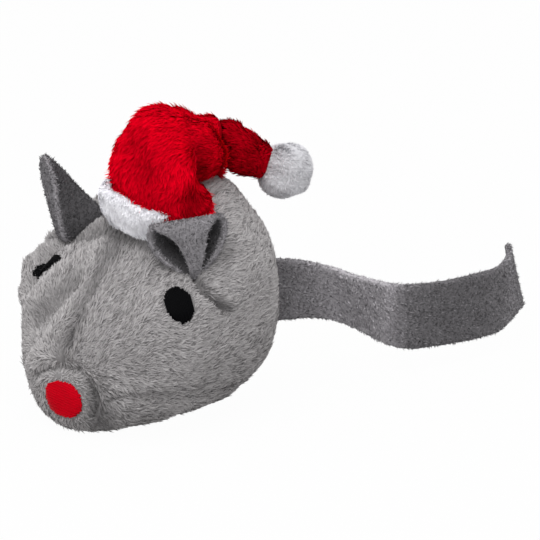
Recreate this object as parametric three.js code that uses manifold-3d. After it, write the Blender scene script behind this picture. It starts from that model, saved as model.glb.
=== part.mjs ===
// A catnip mouse: a stuffed plush cat toy with felt ears, a strip tail and a sewn-on winter hat.
// Millimetres. The nose points to -Y, +X is the mouse's left side, +Z is up and it rests on z = 0.
import * as THREE from "three";
import { mergeVertices } from "three/addons/utils/BufferGeometryUtils.js";
import Module from "manifold-3d";

const wasm = await Module();
wasm.setup();

// Driving dimensions of the stuffed body.
const BODY_LENGTH = 76.5;
const BODY_WIDTH = 75;
const BODY_HEIGHT = 75.5;
const ORIGIN_SHARE = 0.53;
const BROW_SQUARENESS = 2.75;
const RUMP_SQUARENESS = 2.05;
const LOWER_SQUARENESS = 2.3;
const DORSAL_SINK = 1.1;
const DORSAL_SEAM_ENDS = [0.05, 0.985];
const BELLY_SEAM_ENDS = [0.15, 0.82];

// Cloth, clearances and thread.
const SKIN = 1.8;
const SEAM_GAP = 0.7;
const FIT_GAP = 0.3;
const THREAD = 0.4;
const OVERRUN = 20;

// Belly panel, which turns up at the front to make the flat end of the snout.
const BELLY_SEAM_HEIGHT = 9.7;
const BELLY_SEAM_TILT_ANGLE = THREE.MathUtils.degToRad(9);
const SNOUT_WIDTH = 22;
const SNOUT_HEIGHT = 20.5;
const SNOUT_CORNER = 7;
const SNOUT_DEPTH = 9;

// Filling: two wads of fibre round a sachet of dried catnip.
const WAD_SPLIT_SHARE = 0.55;
const SACHET_LENGTH = 34;
const SACHET_WIDTH = 27;
const SACHET_THICKNESS = 11;
const SACHET_CLOTH = 0.5;
const SACHET_SEAL = 3;
const SACHET_HEIGHT = 36;
const PLY_GAP = 0.1;

// Embroidered eyes and nose.
const STITCHING = 0.9;
const STITCHING_GAP = 0.15;
const PATCH_REACH_SHARE = 3;
const EYE_WIDTH = 8.1;
const EYE_HEIGHT = 11.8;
const EYE_TILT_ANGLE = THREE.MathUtils.degToRad(22);
const LEFT_EYE_SEAT = { along: 0.277, angle: THREE.MathUtils.degToRad(31.5) };
const RIGHT_EYE_SEAT = { along: 0.242, angle: THREE.MathUtils.degToRad(132) };
const NOSE_WIDTH = 16.5;
const NOSE_HEIGHT = 10.5;
const NOSE_OFFSET = 4.2;
const NOSE_CORNER_SHARE = 0.6;
const NOSE_FULLNESS_SHARES = [1.1, 0.7];
const NOSE_CENTRE_HEIGHT = 11.5;

// Ears, each one leaf of thick felted cloth that stands in a slit of the skin.
const EAR_CLOTH = 1.3;
const EAR_LENGTH = 27;
const EAR_TURN_ANGLE = THREE.MathUtils.degToRad(45);
const EAR_LEAN_ANGLE = THREE.MathUtils.degToRad(17);
const EAR_SEAT = { along: 0.391, angle: THREE.MathUtils.degToRad(45) };

// Tail, a flat strip on its edge, sewn into the rear seam.
const TAIL_WIDTH = 20.6;
const TAIL_CLOTH = 1.6;
const TAIL_REACH = 104;
const TAIL_ROOT_HEIGHT = 17;
const TAIL_TAB = 7;
const TAIL_HINGE_GAP = 0.9;

// Hat: a pile cuff round the head, a crown that folds over, a drooping tip and a pompom.
const HAT_RADIUS = 15.8;
const HAT_ALONG_SHARE = 0.539;
const HAT_OFFSET = 4.2;
const HAT_RISE = 2.7;
const HAT_ROLL_ANGLE = THREE.MathUtils.degToRad(18);
const HAT_TURN_ANGLE = THREE.MathUtils.degToRad(18);
const HAT_CLOTH = 1.6;
const HAT_HEM = 3.5;
const CUFF_THICKNESS = 5.2;
const CUFF_LEAST_HEIGHT = 4;
const CUFF_MOST_HEIGHT = 12.5;
const CUFF_TUCK_SHARE = 0.45;
const CUFF_SINK = 1.5;
const CUFF_EAR_GAP = 1.3;
const TIP_LENGTH = 16;
const TIP_GAP = 0.4;
const POMPOM_RADIUS = 7.6;
const POMPOM_GAP = 0.45;

// Facet counts.
const BODY_RINGS = 26;
const BODY_SIDES = 40;
const CORE_RINGS = 14;
const CORE_SIDES = 24;
const SACHET_STEPS = 8;
const HAT_SIDES = 28;
const CUFF_STEPS = 36;
const CUFF_SIDES = 12;
const TAIL_STEPS = 26;
const EAR_STEPS = 10;
const SEAM_STEPS = 20;
const HALVINGS = 36;
const SMALL_STEP_SHARE = 1e-3;

const ALONG_Y = new THREE.Vector3(0, 1, 0);
const ALONG_Z = new THREE.Vector3(0, 0, 1);

function at(x, y, z) {
  return new THREE.Vector3(x, y, z);
}

// A geometry that holds positions only, made from points and triangles.
function facets(points, triangles) {
  const geometry = new THREE.BufferGeometry().setFromPoints(points);
  geometry.setIndex(triangles);
  return geometry;
}

// A closed solid through rings of equally many points, with a fan over each end.
function loft(rings) {
  const sides = rings[0].length;
  const points = rings.flat();
  const triangles = [];
  for (let r = 0; r < rings.length - 1; r++) {
    for (let s = 0; s < sides; s++) {
      const a = r * sides + s;
      const b = r * sides + ((s + 1) % sides);
      triangles.push(a, b, a + sides, b, b + sides, a + sides);
    }
  }
  for (const [ring, first, turn] of [
    [rings[0], 0, 1],
    [rings.at(-1), (rings.length - 1) * sides, -1],
  ]) {
    const middle = points.length;
    points.push(ring.reduce((sum, p) => sum.add(p), at(0, 0, 0)).divideScalar(sides));
    for (let s = 0; s < sides; s++) {
      const a = first + s;
      const b = first + ((s + 1) % sides);
      triangles.push(...(turn > 0 ? [middle, b, a] : [middle, a, b]));
    }
  }
  return facets(points, triangles);
}

// A closed solid between two sheets of points with the same rows and columns.
function between(front, back) {
  const rows = front.length;
  const columns = front[0].length;
  const points = [...front.flat(), ...back.flat()];
  const shift = rows * columns;
  const triangles = [];
  const quad = (a, b, c, d) => triangles.push(a, b, c, a, c, d);
  for (let r = 0; r < rows - 1; r++) {
    for (let c = 0; c < columns - 1; c++) {
      const a = r * columns + c;
      quad(a, a + 1, a + columns + 1, a + columns);
      quad(shift + a, shift + a + columns, shift + a + columns + 1, shift + a + 1);
    }
  }
  const rim = [];
  for (let c = 0; c < columns - 1; c++) rim.push(c);
  for (let r = 0; r < rows - 1; r++) rim.push(r * columns + columns - 1);
  for (let c = columns - 1; c > 0; c--) rim.push((rows - 1) * columns + c);
  for (let r = rows - 1; r > 0; r--) rim.push(r * columns);
  rim.forEach((a, i) => {
    const b = rim[(i + 1) % rim.length];
    quad(b, a, shift + a, shift + b);
  });
  return facets(points, triangles);
}

// A cloth of even thickness, whose middle follows a grid of points.
function cloth(grid, thickness) {
  const normals = grid.map((row, r) =>
    row.map((p, c) => {
      const alongRow = (row[c + 1] ?? p).clone().sub(row[c - 1] ?? p);
      const acrossRows = (grid[r + 1]?.[c] ?? p).clone().sub(grid[r - 1]?.[c] ?? p);
      return alongRow.cross(acrossRows).normalize().multiplyScalar(thickness / 2);
    }),
  );
  const front = grid.map((row, r) => row.map((p, c) => p.clone().add(normals[r][c])));
  const back = grid.map((row, r) => row.map((p, c) => p.clone().sub(normals[r][c])));
  return between(front, back);
}

// A closed geometry as a solid that can be joined and cut.
function solid(geometry) {
  const bare = geometry.clone();
  bare.deleteAttribute("normal");
  bare.deleteAttribute("uv");
  const merged = mergeVertices(bare, 1e-4);
  return new wasm.Manifold(
    new wasm.Mesh({
      numProp: 3,
      vertProperties: merged.attributes.position.array,
      triVerts: new Uint32Array(merged.index.array),
    }),
  );
}

function geometryOf(made) {
  const mesh = made.getMesh();
  const geometry = new THREE.BufferGeometry();
  geometry.setAttribute("position", new THREE.BufferAttribute(mesh.vertProperties, 3));
  geometry.setIndex(new THREE.BufferAttribute(mesh.triVerts, 1));
  return geometry;
}

function box(low, high) {
  const size = high.clone().sub(low);
  const middle = low.clone().add(high).divideScalar(2);
  return new THREE.BoxGeometry(size.x, size.y, size.z).translate(middle.x, middle.y, middle.z);
}

// Sections from the nose to the rear: how far along, half width, bottom, top and widest height.
// They are shares of the body's length, half width and height.
const SECTION_SHARES = [
  [0, 0.13, 0.1, 0.21, 0.16],
  [0.007, 0.24, 0.055, 0.25, 0.17],
  [0.033, 0.4, 0.022, 0.325, 0.2],
  [0.072, 0.56, 0.005, 0.405, 0.26],
  [0.137, 0.745, -0.008, 0.505, 0.34],
  [0.216, 0.88, -0.014, 0.576, 0.4],
  [0.307, 0.965, -0.016, 0.656, 0.44],
  [0.412, 0.99, -0.016, 0.76, 0.46],
  [0.529, 0.99, -0.016, 0.875, 0.475],
  [0.634, 0.965, -0.014, 0.94, 0.48],
  [0.739, 0.9, -0.004, 0.955, 0.485],
  [0.83, 0.79, 0.04, 0.905, 0.485],
  [0.915, 0.615, 0.125, 0.81, 0.485],
  [0.974, 0.39, 0.25, 0.7, 0.48],
  [1, 0.107, 0.39, 0.57, 0.48],
];
const outlineCurve = new THREE.CatmullRomCurve3(
  SECTION_SHARES.map(([along, half, , , widest]) => at(along, half, widest)),
  false,
  "catmullrom",
);
const heightCurve = new THREE.CatmullRomCurve3(
  SECTION_SHARES.map(([, , bottom, top]) => at(bottom, top, 0)),
  false,
  "catmullrom",
);

// The body's section at a share t of the table, grown by an offset.
function section(t, offset) {
  const { x: along, y: half, z: widest } = outlineCurve.getPoint(t);
  const { x: bottom, y: top } = heightCurve.getPoint(t);
  return {
    y: (along - ORIGIN_SHARE) * BODY_LENGTH + offset * (2 * along - 1),
    half: (half * BODY_WIDTH) / 2 + offset,
    bottom: bottom * BODY_HEIGHT - offset,
    top: top * BODY_HEIGHT + offset,
    widest: widest * BODY_HEIGHT,
    squareness: THREE.MathUtils.lerp(BROW_SQUARENESS, RUMP_SQUARENESS, along),
  };
}

// A point of the body's surface: angle 0 is the left side, and a quarter turn is the back.
function bodyPoint(t, angle, offset = 0) {
  const s = section(t, offset);
  const cos = Math.cos(angle);
  const sin = Math.sin(angle);
  const power = 2 / (sin >= 0 ? s.squareness : LOWER_SQUARENESS);
  const reach = sin >= 0 ? s.top - s.widest : s.widest - s.bottom;
  const sunk = sin > 1 - 1e-9 ? DORSAL_SINK : 0;
  return at(
    s.half * Math.sign(cos) * Math.abs(cos) ** power,
    s.y,
    s.widest + reach * Math.sign(sin) * Math.abs(sin) ** power - sunk,
  );
}

// Where the section table reaches a share of the body's length.
function tableShare(along) {
  let low = 0;
  let high = 1;
  for (let i = 0; i < HALVINGS; i++) {
    const middle = (low + high) / 2;
    if (outlineCurve.getPoint(middle).x < along) low = middle;
    else high = middle;
  }
  return low;
}

// A point on the body with its outward normal.
function seatOn(along, angle) {
  const t = tableShare(along);
  const step = SMALL_STEP_SHARE;
  const point = bodyPoint(t, angle);
  const lengthwise = bodyPoint(t + step, angle).sub(bodyPoint(t - step, angle));
  const around = bodyPoint(t, angle + step).sub(bodyPoint(t, angle - step));
  return { point, normal: lengthwise.cross(around).normalize() };
}

function bodySolid(offset, rings, sides) {
  const made = [];
  for (let r = 0; r <= rings; r++) {
    const ring = [];
    for (let s = 0; s < sides; s++) ring.push(bodyPoint(r / rings, (s * 2 * Math.PI) / sides, offset));
    made.push(ring.reverse());
  }
  return solid(loft(made));
}

function above(height) {
  return solid(
    box(at(-BODY_WIDTH, -BODY_LENGTH, height), at(BODY_WIDTH, BODY_LENGTH, height + 2 * BODY_HEIGHT)),
  );
}

function sideOf(low, high) {
  return solid(box(at(low, -BODY_LENGTH, -BODY_HEIGHT), at(high, BODY_LENGTH, 2 * BODY_HEIGHT)));
}

// The height of the side seam, which falls to the rear.
function seamHeight(y) {
  return BELLY_SEAM_HEIGHT / Math.cos(BELLY_SEAM_TILT_ANGLE) - y * Math.tan(BELLY_SEAM_TILT_ANGLE);
}

// What the belly panel covers: all below the side seam, and the snout's flat end.
function bellyRegion(grow) {
  const half = SNOUT_WIDTH / 2 + grow;
  const top = SNOUT_HEIGHT + grow;
  const outline = new THREE.Shape();
  outline.moveTo(-half, -OVERRUN);
  outline.lineTo(half, -OVERRUN);
  outline.lineTo(half, top - SNOUT_CORNER);
  outline.quadraticCurveTo(half, top, half - SNOUT_CORNER, top);
  outline.lineTo(SNOUT_CORNER - half, top);
  outline.quadraticCurveTo(-half, top, -half, top - SNOUT_CORNER);
  outline.closePath();
  const noseY = -ORIGIN_SHARE * BODY_LENGTH;
  const snout = new THREE.ExtrudeGeometry(outline, {
    depth: SNOUT_DEPTH + grow + OVERRUN,
    bevelEnabled: false,
    curveSegments: 4,
  })
    .rotateX(Math.PI / 2)
    .translate(0, noseY + SNOUT_DEPTH + grow, 0);
  const low = box(
    at(-BODY_WIDTH, -BODY_LENGTH, -BODY_HEIGHT),
    at(BODY_WIDTH, BODY_LENGTH, BELLY_SEAM_HEIGHT + grow),
  ).rotateX(-BELLY_SEAM_TILT_ANGLE);
  return solid(low).add(solid(snout));
}

const rearY = (1 - ORIGIN_SHARE) * BODY_LENGTH;
const tabOuterY = rearY + FIT_GAP;

// The sewn-in end of the tail, grown for the slot that it sits in.
function tailTab(grow) {
  return box(
    at(-TAIL_CLOTH / 2 - grow, rearY - SKIN - TAIL_TAB - grow, TAIL_ROOT_HEIGHT - grow),
    at(TAIL_CLOTH / 2 + grow, tabOuterY + grow, TAIL_ROOT_HEIGHT + TAIL_WIDTH + grow),
  );
}

const material = (name, color, roughness) =>
  new THREE.MeshStandardMaterial({ name, color, roughness, metalness: 0 });
const greyPlush = material("grey plush", 0x9c9895, 0.95);
const greyFelt = material("dark grey felt", 0x727074, 0.95);
const redPlush = material("red plush", 0xd00714, 0.9);
const whitePile = material("white pile", 0xe4e6ee, 0.95);
const blackThread = material("black embroidery", 0x121213, 0.6);
const redThread = material("red embroidery", 0xd40a1c, 0.55);
const greyThread = material("grey thread", 0x8a8785, 0.6);
const fibre = material("polyester fibre", 0xf1f0ec, 1);
const sachetCloth = material("non-woven cloth", 0xf4f2ea, 0.9);
const herb = material("dried catnip", 0x6d7440, 1);

const mouse = new THREE.Group();

function piece(name, shape, finish) {
  const mesh = new THREE.Mesh(shape instanceof THREE.BufferGeometry ? shape : geometryOf(shape), finish);
  mesh.name = name;
  mouse.add(mesh);
  return mesh;
}

// Plush skin: two side panels and the belly panel, cut from one shell at the seams.
function makeSkin() {
  const outer = bodySolid(0, BODY_RINGS, BODY_SIDES).intersect(above(0));
  const inner = bodySolid(-SKIN, CORE_RINGS, CORE_SIDES).intersect(above(SKIN));
  const shell = outer.subtract(inner);
  const sides = shell.subtract(bellyRegion(SEAM_GAP)).subtract(solid(tailTab(FIT_GAP)));
  piece("belly_panel", shell.intersect(bellyRegion(0)), greyPlush);
  piece("left_side_panel", sides.intersect(sideOf(SEAM_GAP / 2, BODY_WIDTH)), greyPlush);
  piece("right_side_panel", sides.intersect(sideOf(-BODY_WIDTH, -SEAM_GAP / 2)), greyPlush);
}

// The sachet's half thickness at a place, both given as shares of its half sizes.
function sachetSwell(u, v) {
  return Math.sqrt(Math.max(0, (1 - u ** 4) * (1 - v ** 4)));
}

// The shares of the pillow's half size where the sachet's grid lines run.
const pillowShares = [];
for (let i = 0; i <= SACHET_STEPS; i++) {
  pillowShares.push(Math.sin((Math.PI / 2) * ((2 * i) / SACHET_STEPS - 1)));
}

// A grid over the pillow, with a flat welded rim of the given width round it if there is one.
function sachetGrid(rim, height) {
  const shares = rim > 0 ? [-1, ...pillowShares, 1] : pillowShares.slice(1, -1);
  const pillowLength = SACHET_LENGTH / 2 - SACHET_SEAL;
  const pillowWidth = SACHET_WIDTH / 2 - SACHET_SEAL;
  const place = (share, i, pillow) => share * pillow + (i % (shares.length - 1) ? 0 : share * rim);
  return shares.map((v, r) =>
    shares.map((u, c) => at(place(u, c, pillowWidth), place(v, r, pillowLength), height(sachetSwell(u, v)))),
  );
}

const SACHET_PLACE = at(0, 0, SACHET_HEIGHT);

// The catnip sachet: two welded sheets and the dried leaf between them.
function makeSachet() {
  const crown = SACHET_THICKNESS / 2 - SACHET_CLOTH - PLY_GAP / 2;
  const inside = sachetGrid(SACHET_SEAL, (swell) => PLY_GAP / 2 + crown * swell);
  const outside = sachetGrid(SACHET_SEAL, (swell) => PLY_GAP / 2 + SACHET_CLOTH + crown * swell);
  const upper = between(outside, inside);
  const lower = between(...[inside, outside].map((grid) => grid.map((row) => row.map((p) => at(p.x, p.y, -p.z)))));
  for (const [name, sheet] of [
    ["sachet_upper_sheet", upper],
    ["sachet_lower_sheet", lower],
  ]) {
    piece(name, sheet, sachetCloth).position.copy(SACHET_PLACE);
  }
  const leafTop = sachetGrid(0, (swell) => crown * swell - PLY_GAP);
  const leafBottom = sachetGrid(0, (swell) => PLY_GAP - crown * swell);
  piece("dried_catnip", between(leafTop, leafBottom), herb).position.copy(SACHET_PLACE);
}

// Fibre wads in front of and behind the sachet, each with half of its pocket.
function makeFilling() {
  const core = bodySolid(-SKIN - FIT_GAP, CORE_RINGS, CORE_SIDES).intersect(above(SKIN + FIT_GAP));
  const half = SACHET_THICKNESS / 2;
  const pocketTop = sachetGrid(SACHET_SEAL + FIT_GAP, (swell) => FIT_GAP + SACHET_CLOTH + half * swell);
  const pocketBottom = pocketTop.map((row) => row.map((p) => at(p.x, p.y, -p.z)));
  const pocket = between(pocketTop, pocketBottom).translate(...SACHET_PLACE.toArray());
  const filling = core.subtract(solid(pocket)).subtract(solid(tailTab(FIT_GAP)));
  const splitY = (WAD_SPLIT_SHARE - ORIGIN_SHARE) * BODY_LENGTH;
  const front = box(
    at(-BODY_WIDTH, -BODY_LENGTH, -BODY_HEIGHT),
    at(BODY_WIDTH, splitY - FIT_GAP / 2, 2 * BODY_HEIGHT),
  );
  const rear = box(
    at(-BODY_WIDTH, splitY + FIT_GAP / 2, -BODY_HEIGHT),
    at(BODY_WIDTH, BODY_LENGTH, 2 * BODY_HEIGHT),
  );
  piece("front_fibre_wad", filling.intersect(solid(front)), fibre);
  piece("rear_fibre_wad", filling.intersect(solid(rear)), fibre);
}

// Satin-stitched patches, which follow the skin that they are sewn to.
function stitchedPatch(outline, place) {
  const depth = PATCH_REACH_SHARE * SKIN;
  const prism = new THREE.ExtrudeGeometry(outline, { depth: 2 * depth, bevelEnabled: false, curveSegments: 6 })
    .translate(0, 0, -depth)
    .applyMatrix4(place);
  const top = bodySolid(STITCHING_GAP + STITCHING, BODY_RINGS, BODY_SIDES);
  const under = bodySolid(STITCHING_GAP, BODY_RINGS, BODY_SIDES);
  return top.subtract(under).intersect(solid(prism));
}

function frameAt(point, normal, upward) {
  const across = upward.clone().cross(normal).normalize();
  const up = normal.clone().cross(across);
  return new THREE.Matrix4().makeBasis(across, up, normal).setPosition(point);
}

function makeFace() {
  for (const [name, side, seat] of [
    ["left_eye", 1, LEFT_EYE_SEAT],
    ["right_eye", -1, RIGHT_EYE_SEAT],
  ]) {
    const { point, normal } = seatOn(seat.along, seat.angle);
    const upward = ALONG_Z.clone().applyAxisAngle(normal, side * EYE_TILT_ANGLE);
    const oval = new THREE.Shape().absellipse(0, 0, EYE_WIDTH / 2, EYE_HEIGHT / 2, 0, 2 * Math.PI);
    piece(name, stitchedPatch(oval, frameAt(point, normal, upward)), blackThread);
  }
  const halfUp = NOSE_HEIGHT / 2;
  const corner = NOSE_CORNER_SHARE * (NOSE_WIDTH / 2);
  const [wide, low] = NOSE_FULLNESS_SHARES.map((share) => share * (NOSE_WIDTH / 2));
  const nose = new THREE.Shape();
  nose.moveTo(0, -halfUp);
  nose.bezierCurveTo(low, -halfUp, wide, halfUp, corner, halfUp);
  nose.lineTo(-corner, halfUp);
  nose.bezierCurveTo(-wide, halfUp, -low, -halfUp, 0, -halfUp);
  const noseY = -ORIGIN_SHARE * BODY_LENGTH;
  const place = frameAt(at(NOSE_OFFSET, noseY, NOSE_CENTRE_HEIGHT), ALONG_Y.clone().negate(), ALONG_Z);
  piece("nose", stitchedPatch(nose, place), redThread);
}

// A thread of hexagonal section along a curve.
function threadAlong(points) {
  const curve = new THREE.CatmullRomCurve3(points);
  const hexagon = new THREE.Shape();
  for (let i = 0; i < 6; i++) {
    const angle = (i * Math.PI) / 3;
    const [x, y] = [(THREAD / 2) * Math.cos(angle), (THREAD / 2) * Math.sin(angle)];
    if (i) hexagon.lineTo(x, y);
    else hexagon.moveTo(x, y);
  }
  hexagon.closePath();
  return new THREE.ExtrudeGeometry(hexagon, {
    steps: points.length * 2,
    extrudePath: curve,
    bevelEnabled: false,
  });
}

// Where the side seam crosses the section at a share t of the table, sunk into the skin.
function seamPoint(t, depth) {
  const s = section(t, -depth);
  const height = seamHeight(s.y) + SEAM_GAP / 2;
  const sin = ((s.widest - height) / (s.widest - s.bottom)) ** (LOWER_SQUARENESS / 2);
  return at(s.half * Math.sqrt(Math.max(0, 1 - sin * sin)) ** (2 / LOWER_SQUARENESS), s.y, height);
}

// The line of each ear's dart, which takes in the cheek: along, and the angle in degrees.
const DART_SHARES = [
  [0.38, 35],
  [0.384, 30],
  [0.39, 25],
  [0.42, 14],
  [0.478, 2],
];

// Sewing threads: down in the three long seams, and on the skin along the two darts.
function makeSeamThreads() {
  const thread = (name, share) => {
    const points = [];
    for (let i = 0; i <= SEAM_STEPS; i++) points.push(share(i / SEAM_STEPS));
    piece(name, threadAlong(points), greyThread);
  };
  const first = tableShare(DORSAL_SEAM_ENDS[0]);
  const last = tableShare(DORSAL_SEAM_ENDS[1]);
  thread("dorsal_seam_thread", (share) => {
    const s = section(THREE.MathUtils.lerp(first, last, share), 0);
    return at(0, s.y, s.top - DORSAL_SINK - SKIN / 2);
  });
  const front = tableShare(BELLY_SEAM_ENDS[0]);
  const rear = tableShare(BELLY_SEAM_ENDS[1]);
  for (const [name, side] of [
    ["left_belly_seam_thread", 1],
    ["right_belly_seam_thread", -1],
  ]) {
    thread(name, (share) => {
      const point = seamPoint(THREE.MathUtils.lerp(front, rear, share), SKIN / 2);
      return point.multiply(at(side, 1, 1));
    });
  }
  for (const [name, mirror] of [
    ["left_dart_thread", false],
    ["right_dart_thread", true],
  ]) {
    const points = DART_SHARES.map(([along, degrees]) => {
      const angle = THREE.MathUtils.degToRad(mirror ? 180 - degrees : degrees);
      return bodyPoint(tableShare(along), angle, THREAD);
    });
    piece(name, threadAlong(points), greyThread);
  }
}

// A share s of a list, read as a smooth curve through its entries.
function curveAt(entries, s) {
  return new THREE.CatmullRomCurve3(entries, false, "catmullrom").getPoint(s);
}

// The tail's lower edge and its lean, from the root to the end: along X, along Y and up.
// The edge is in shares of the reach and of the root's height, and the lean of the width.
const TAIL_SHARES = [
  [0, 0, 1, 0, 0],
  [0.025, 0.09, 0.96, 0.05, -0.05],
  [0.059, 0.21, 0.88, 0.155, -0.205],
  [0.077, 0.297, 0.755, 0.25, -0.262],
  [0.132, 0.332, 0.65, 0.28, -0.265],
  [0.205, 0.33, 0.59, 0.22, -0.2],
  [0.287, 0.322, 0.54, 0.1, -0.095],
  [0.346, 0.345, 0.5, 0, 0],
  [0.37, 0.426, 0.46, 0, 0],
  [0.388, 0.522, 0.425, -0.025, 0.025],
  [0.395, 0.621, 0.395, -0.095, 0.095],
  [0.389, 0.7, 0.376, -0.12, 0.145],
  [0.329, 0.836, 0.36, -0.19, 0.17],
  [0.25, 1, 0.34, -0.41, 0.1],
];

// The tail: the end that is sewn into the rear seam, and the free strip.
function makeTail() {
  piece("tail_seam_tab", tailTab(0), greyFelt);
  const edge = TAIL_SHARES.map(([x, y, z]) =>
    at(x * TAIL_REACH, tabOuterY + TAIL_HINGE_GAP + y * TAIL_REACH, z * TAIL_ROOT_HEIGHT),
  );
  const lean = TAIL_SHARES.map(([, , , x, y]) => at(x, y, Math.sqrt(1 - x * x - y * y)));
  const grid = [];
  for (let r = 0; r <= TAIL_STEPS; r++) {
    const low = curveAt(edge, r / TAIL_STEPS);
    const up = curveAt(lean, r / TAIL_STEPS).normalize();
    grid.push([0, 0.5, 1].map((share) => low.clone().addScaledVector(up, share * TAIL_WIDTH)));
  }
  piece("tail", cloth(grid, TAIL_CLOTH), greyFelt);
}

// The ears' rows from the root to the tip. Each row gives the leaf's two edges and its middle as
// shares of the ear's length: sideways, up and forward, seen from the ear's own front.
const LEFT_EAR_SHARES = [
  [[-0.03, -0.05, -0.074], [0.034, -0.018, -0.089], [0.11, -0.007, -0.074]],
  [[-0.222, 0.09, 0.019], [-0.008, 0.133, -0.037], [0.209, 0.133, 0.037]],
  [[-0.43, 0.273, -0.074], [-0.042, 0.274, -0.111], [0.295, 0.294, 0.007]],
  [[-0.487, 0.382, -0.167], [-0.044, 0.393, -0.185], [0.347, 0.457, -0.093]],
  [[-0.435, 0.437, -0.222], [-0.043, 0.507, -0.167], [0.313, 0.599, -0.185]],
  [[-0.279, 0.381, -0.093], [-0.028, 0.391, 0.037], [0.24, 0.489, -0.056]],
  [[-0.146, 0.24, 0.037], [0.007, 0.261, 0.126], [0.166, 0.326, 0.052]],
  [[-0.058, 0.103, 0.104], [0.04, 0.121, 0.163], [0.143, 0.165, 0.111]],
  [[0.007, 0.004, 0.133], [0.045, 0.003, 0.156], [0.082, 0.017, 0.141]],
];
const RIGHT_EAR_SHARES = [
  [[-0.059, -0.087, -0.148], [0.458, 0.097, 0.315], [-0.017, -0.1, 0]],
  [[-0.121, 0.081, -0.141], [0.34, 0.255, 0.185], [-0.055, 0.089, 0.096]],
  [[-0.185, 0.284, -0.17], [0.234, 0.38, 0.074], [-0.078, 0.278, 0.126]],
  [[-0.234, 0.475, -0.156], [0.106, 0.51, 0], [-0.091, 0.468, 0.111]],
  [[-0.264, 0.675, -0.104], [-0.031, 0.673, -0.044], [-0.119, 0.648, 0.059]],
  [[-0.237, 0.808, -0.037], [-0.152, 0.785, -0.022], [-0.177, 0.783, 0.022]],
];

// Where a row of a leaf bows: its quarter points lie further out than a straight line would.
const EAR_BOW_SHARE = 0.72;

// An ear's cloth as a grid of points.
function earGrid(shares, side) {
  const { point } = seatOn(EAR_SEAT.along, side > 0 ? EAR_SEAT.angle : Math.PI - EAR_SEAT.angle);
  const place = new THREE.Matrix4()
    .makeTranslation(point)
    .multiply(new THREE.Matrix4().makeRotationZ(EAR_TURN_ANGLE))
    .multiply(new THREE.Matrix4().makeRotationX(-EAR_LEAN_ANGLE));
  const columns = [0, 1, 2].map((c) => shares.map((row) => at(row[c][0], -row[c][2], row[c][1])));
  const grid = [];
  for (let r = 0; r <= EAR_STEPS; r++) {
    const [first, middle, last] = columns.map((column) => curveAt(column, r / EAR_STEPS));
    const row = [];
    for (let c = -3; c <= 3; c++) {
      const share = Math.abs(c) / 3;
      const edge = c < 0 ? first : last;
      const straight = middle.clone().lerp(edge, share);
      straight.y = THREE.MathUtils.lerp(middle.y, edge.y, share ** (1 / EAR_BOW_SHARE));
      row.push(straight.multiplyScalar(EAR_LENGTH).applyMatrix4(place));
    }
    grid.push(row);
  }
  return grid;
}

const leftEarGrid = earGrid(LEFT_EAR_SHARES, 1);
const rightEarGrid = earGrid(RIGHT_EAR_SHARES, -1);

function makeEars() {
  const body = bodySolid(FIT_GAP, BODY_RINGS, BODY_SIDES);
  piece("left_ear", solid(cloth(leftEarGrid, EAR_CLOTH)).subtract(body), greyFelt);
  piece("right_ear", solid(cloth(rightEarGrid, EAR_CLOTH)).subtract(body), greyFelt);
}

// The crown's rings, which fan out round the line where the hat folds. For each: its turn in
// degrees from the hat's base, then its inner end, outer end and half width in shares of the
// hat's radius.
const CROWN_RING_SHARES = [
  [0, 0.04, 1.98, 0.99],
  [12, 0.05, 2.19, 0.99],
  [25, 0.1, 2.33, 0.97],
  [38, 0.17, 2.33, 0.93],
  [50, 0.22, 2.2, 0.88],
  [62, 0.26, 1.91, 0.8],
  [75, 0.28, 1.58, 0.69],
  [88, 0.29, 1.38, 0.59],
  [100, 0.28, 1.31, 0.54],
];
const TIP_DIRECTION = at(0.35, 0.81, -0.47).normalize();
const TIP_RADIUS_SHARES = [0.52, 0.49, 0.45, 0.39, 0.31];

// The hat's own directions at a share of its fold: away from the head, rearward and sideways.
function hatFrame(share) {
  const roll = HAT_ROLL_ANGLE * (1 - share);
  const away = at(Math.sin(roll), 0, Math.cos(roll));
  const rear = at(Math.sin(HAT_TURN_ANGLE), Math.cos(HAT_TURN_ANGLE), 0);
  rear.addScaledVector(away, -rear.dot(away)).normalize();
  return { away, rear, across: rear.clone().cross(away) };
}

const base = hatFrame(0);
const hatBase = seatOn(HAT_ALONG_SHARE, Math.PI / 2).point.add(at(HAT_OFFSET, 0, HAT_RISE));
const foldLine = hatBase.clone().addScaledVector(base.rear, HAT_RADIUS);

// A ring round a middle point, in the plane of two directions.
function ringIn(middle, across, up, halfAcross, halfUp, sides) {
  const ring = [];
  for (let s = 0; s < sides; s++) {
    const angle = (s * 2 * Math.PI) / sides;
    ring.push(
      middle
        .clone()
        .addScaledVector(across, halfAcross * Math.cos(angle))
        .addScaledVector(up, halfUp * Math.sin(angle)),
    );
  }
  return ring;
}

// A ring of the crown, grown by an offset and moved along the crown.
function crownRing([turn, inner, outer, half], offset, shift) {
  const angle = THREE.MathUtils.degToRad(turn);
  const { away, rear, across } = hatFrame(turn / CROWN_RING_SHARES.at(-1)[0]);
  const up = rear.clone().multiplyScalar(-Math.cos(angle)).addScaledVector(away, Math.sin(angle));
  const middle = foldLine
    .clone()
    .addScaledVector(up, ((inner + outer) / 2) * HAT_RADIUS)
    .addScaledVector(up.clone().cross(across), shift);
  const halfUp = ((outer - inner) / 2) * HAT_RADIUS + offset;
  return ringIn(middle, across, up, half * HAT_RADIUS + offset, halfUp, HAT_SIDES);
}

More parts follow.
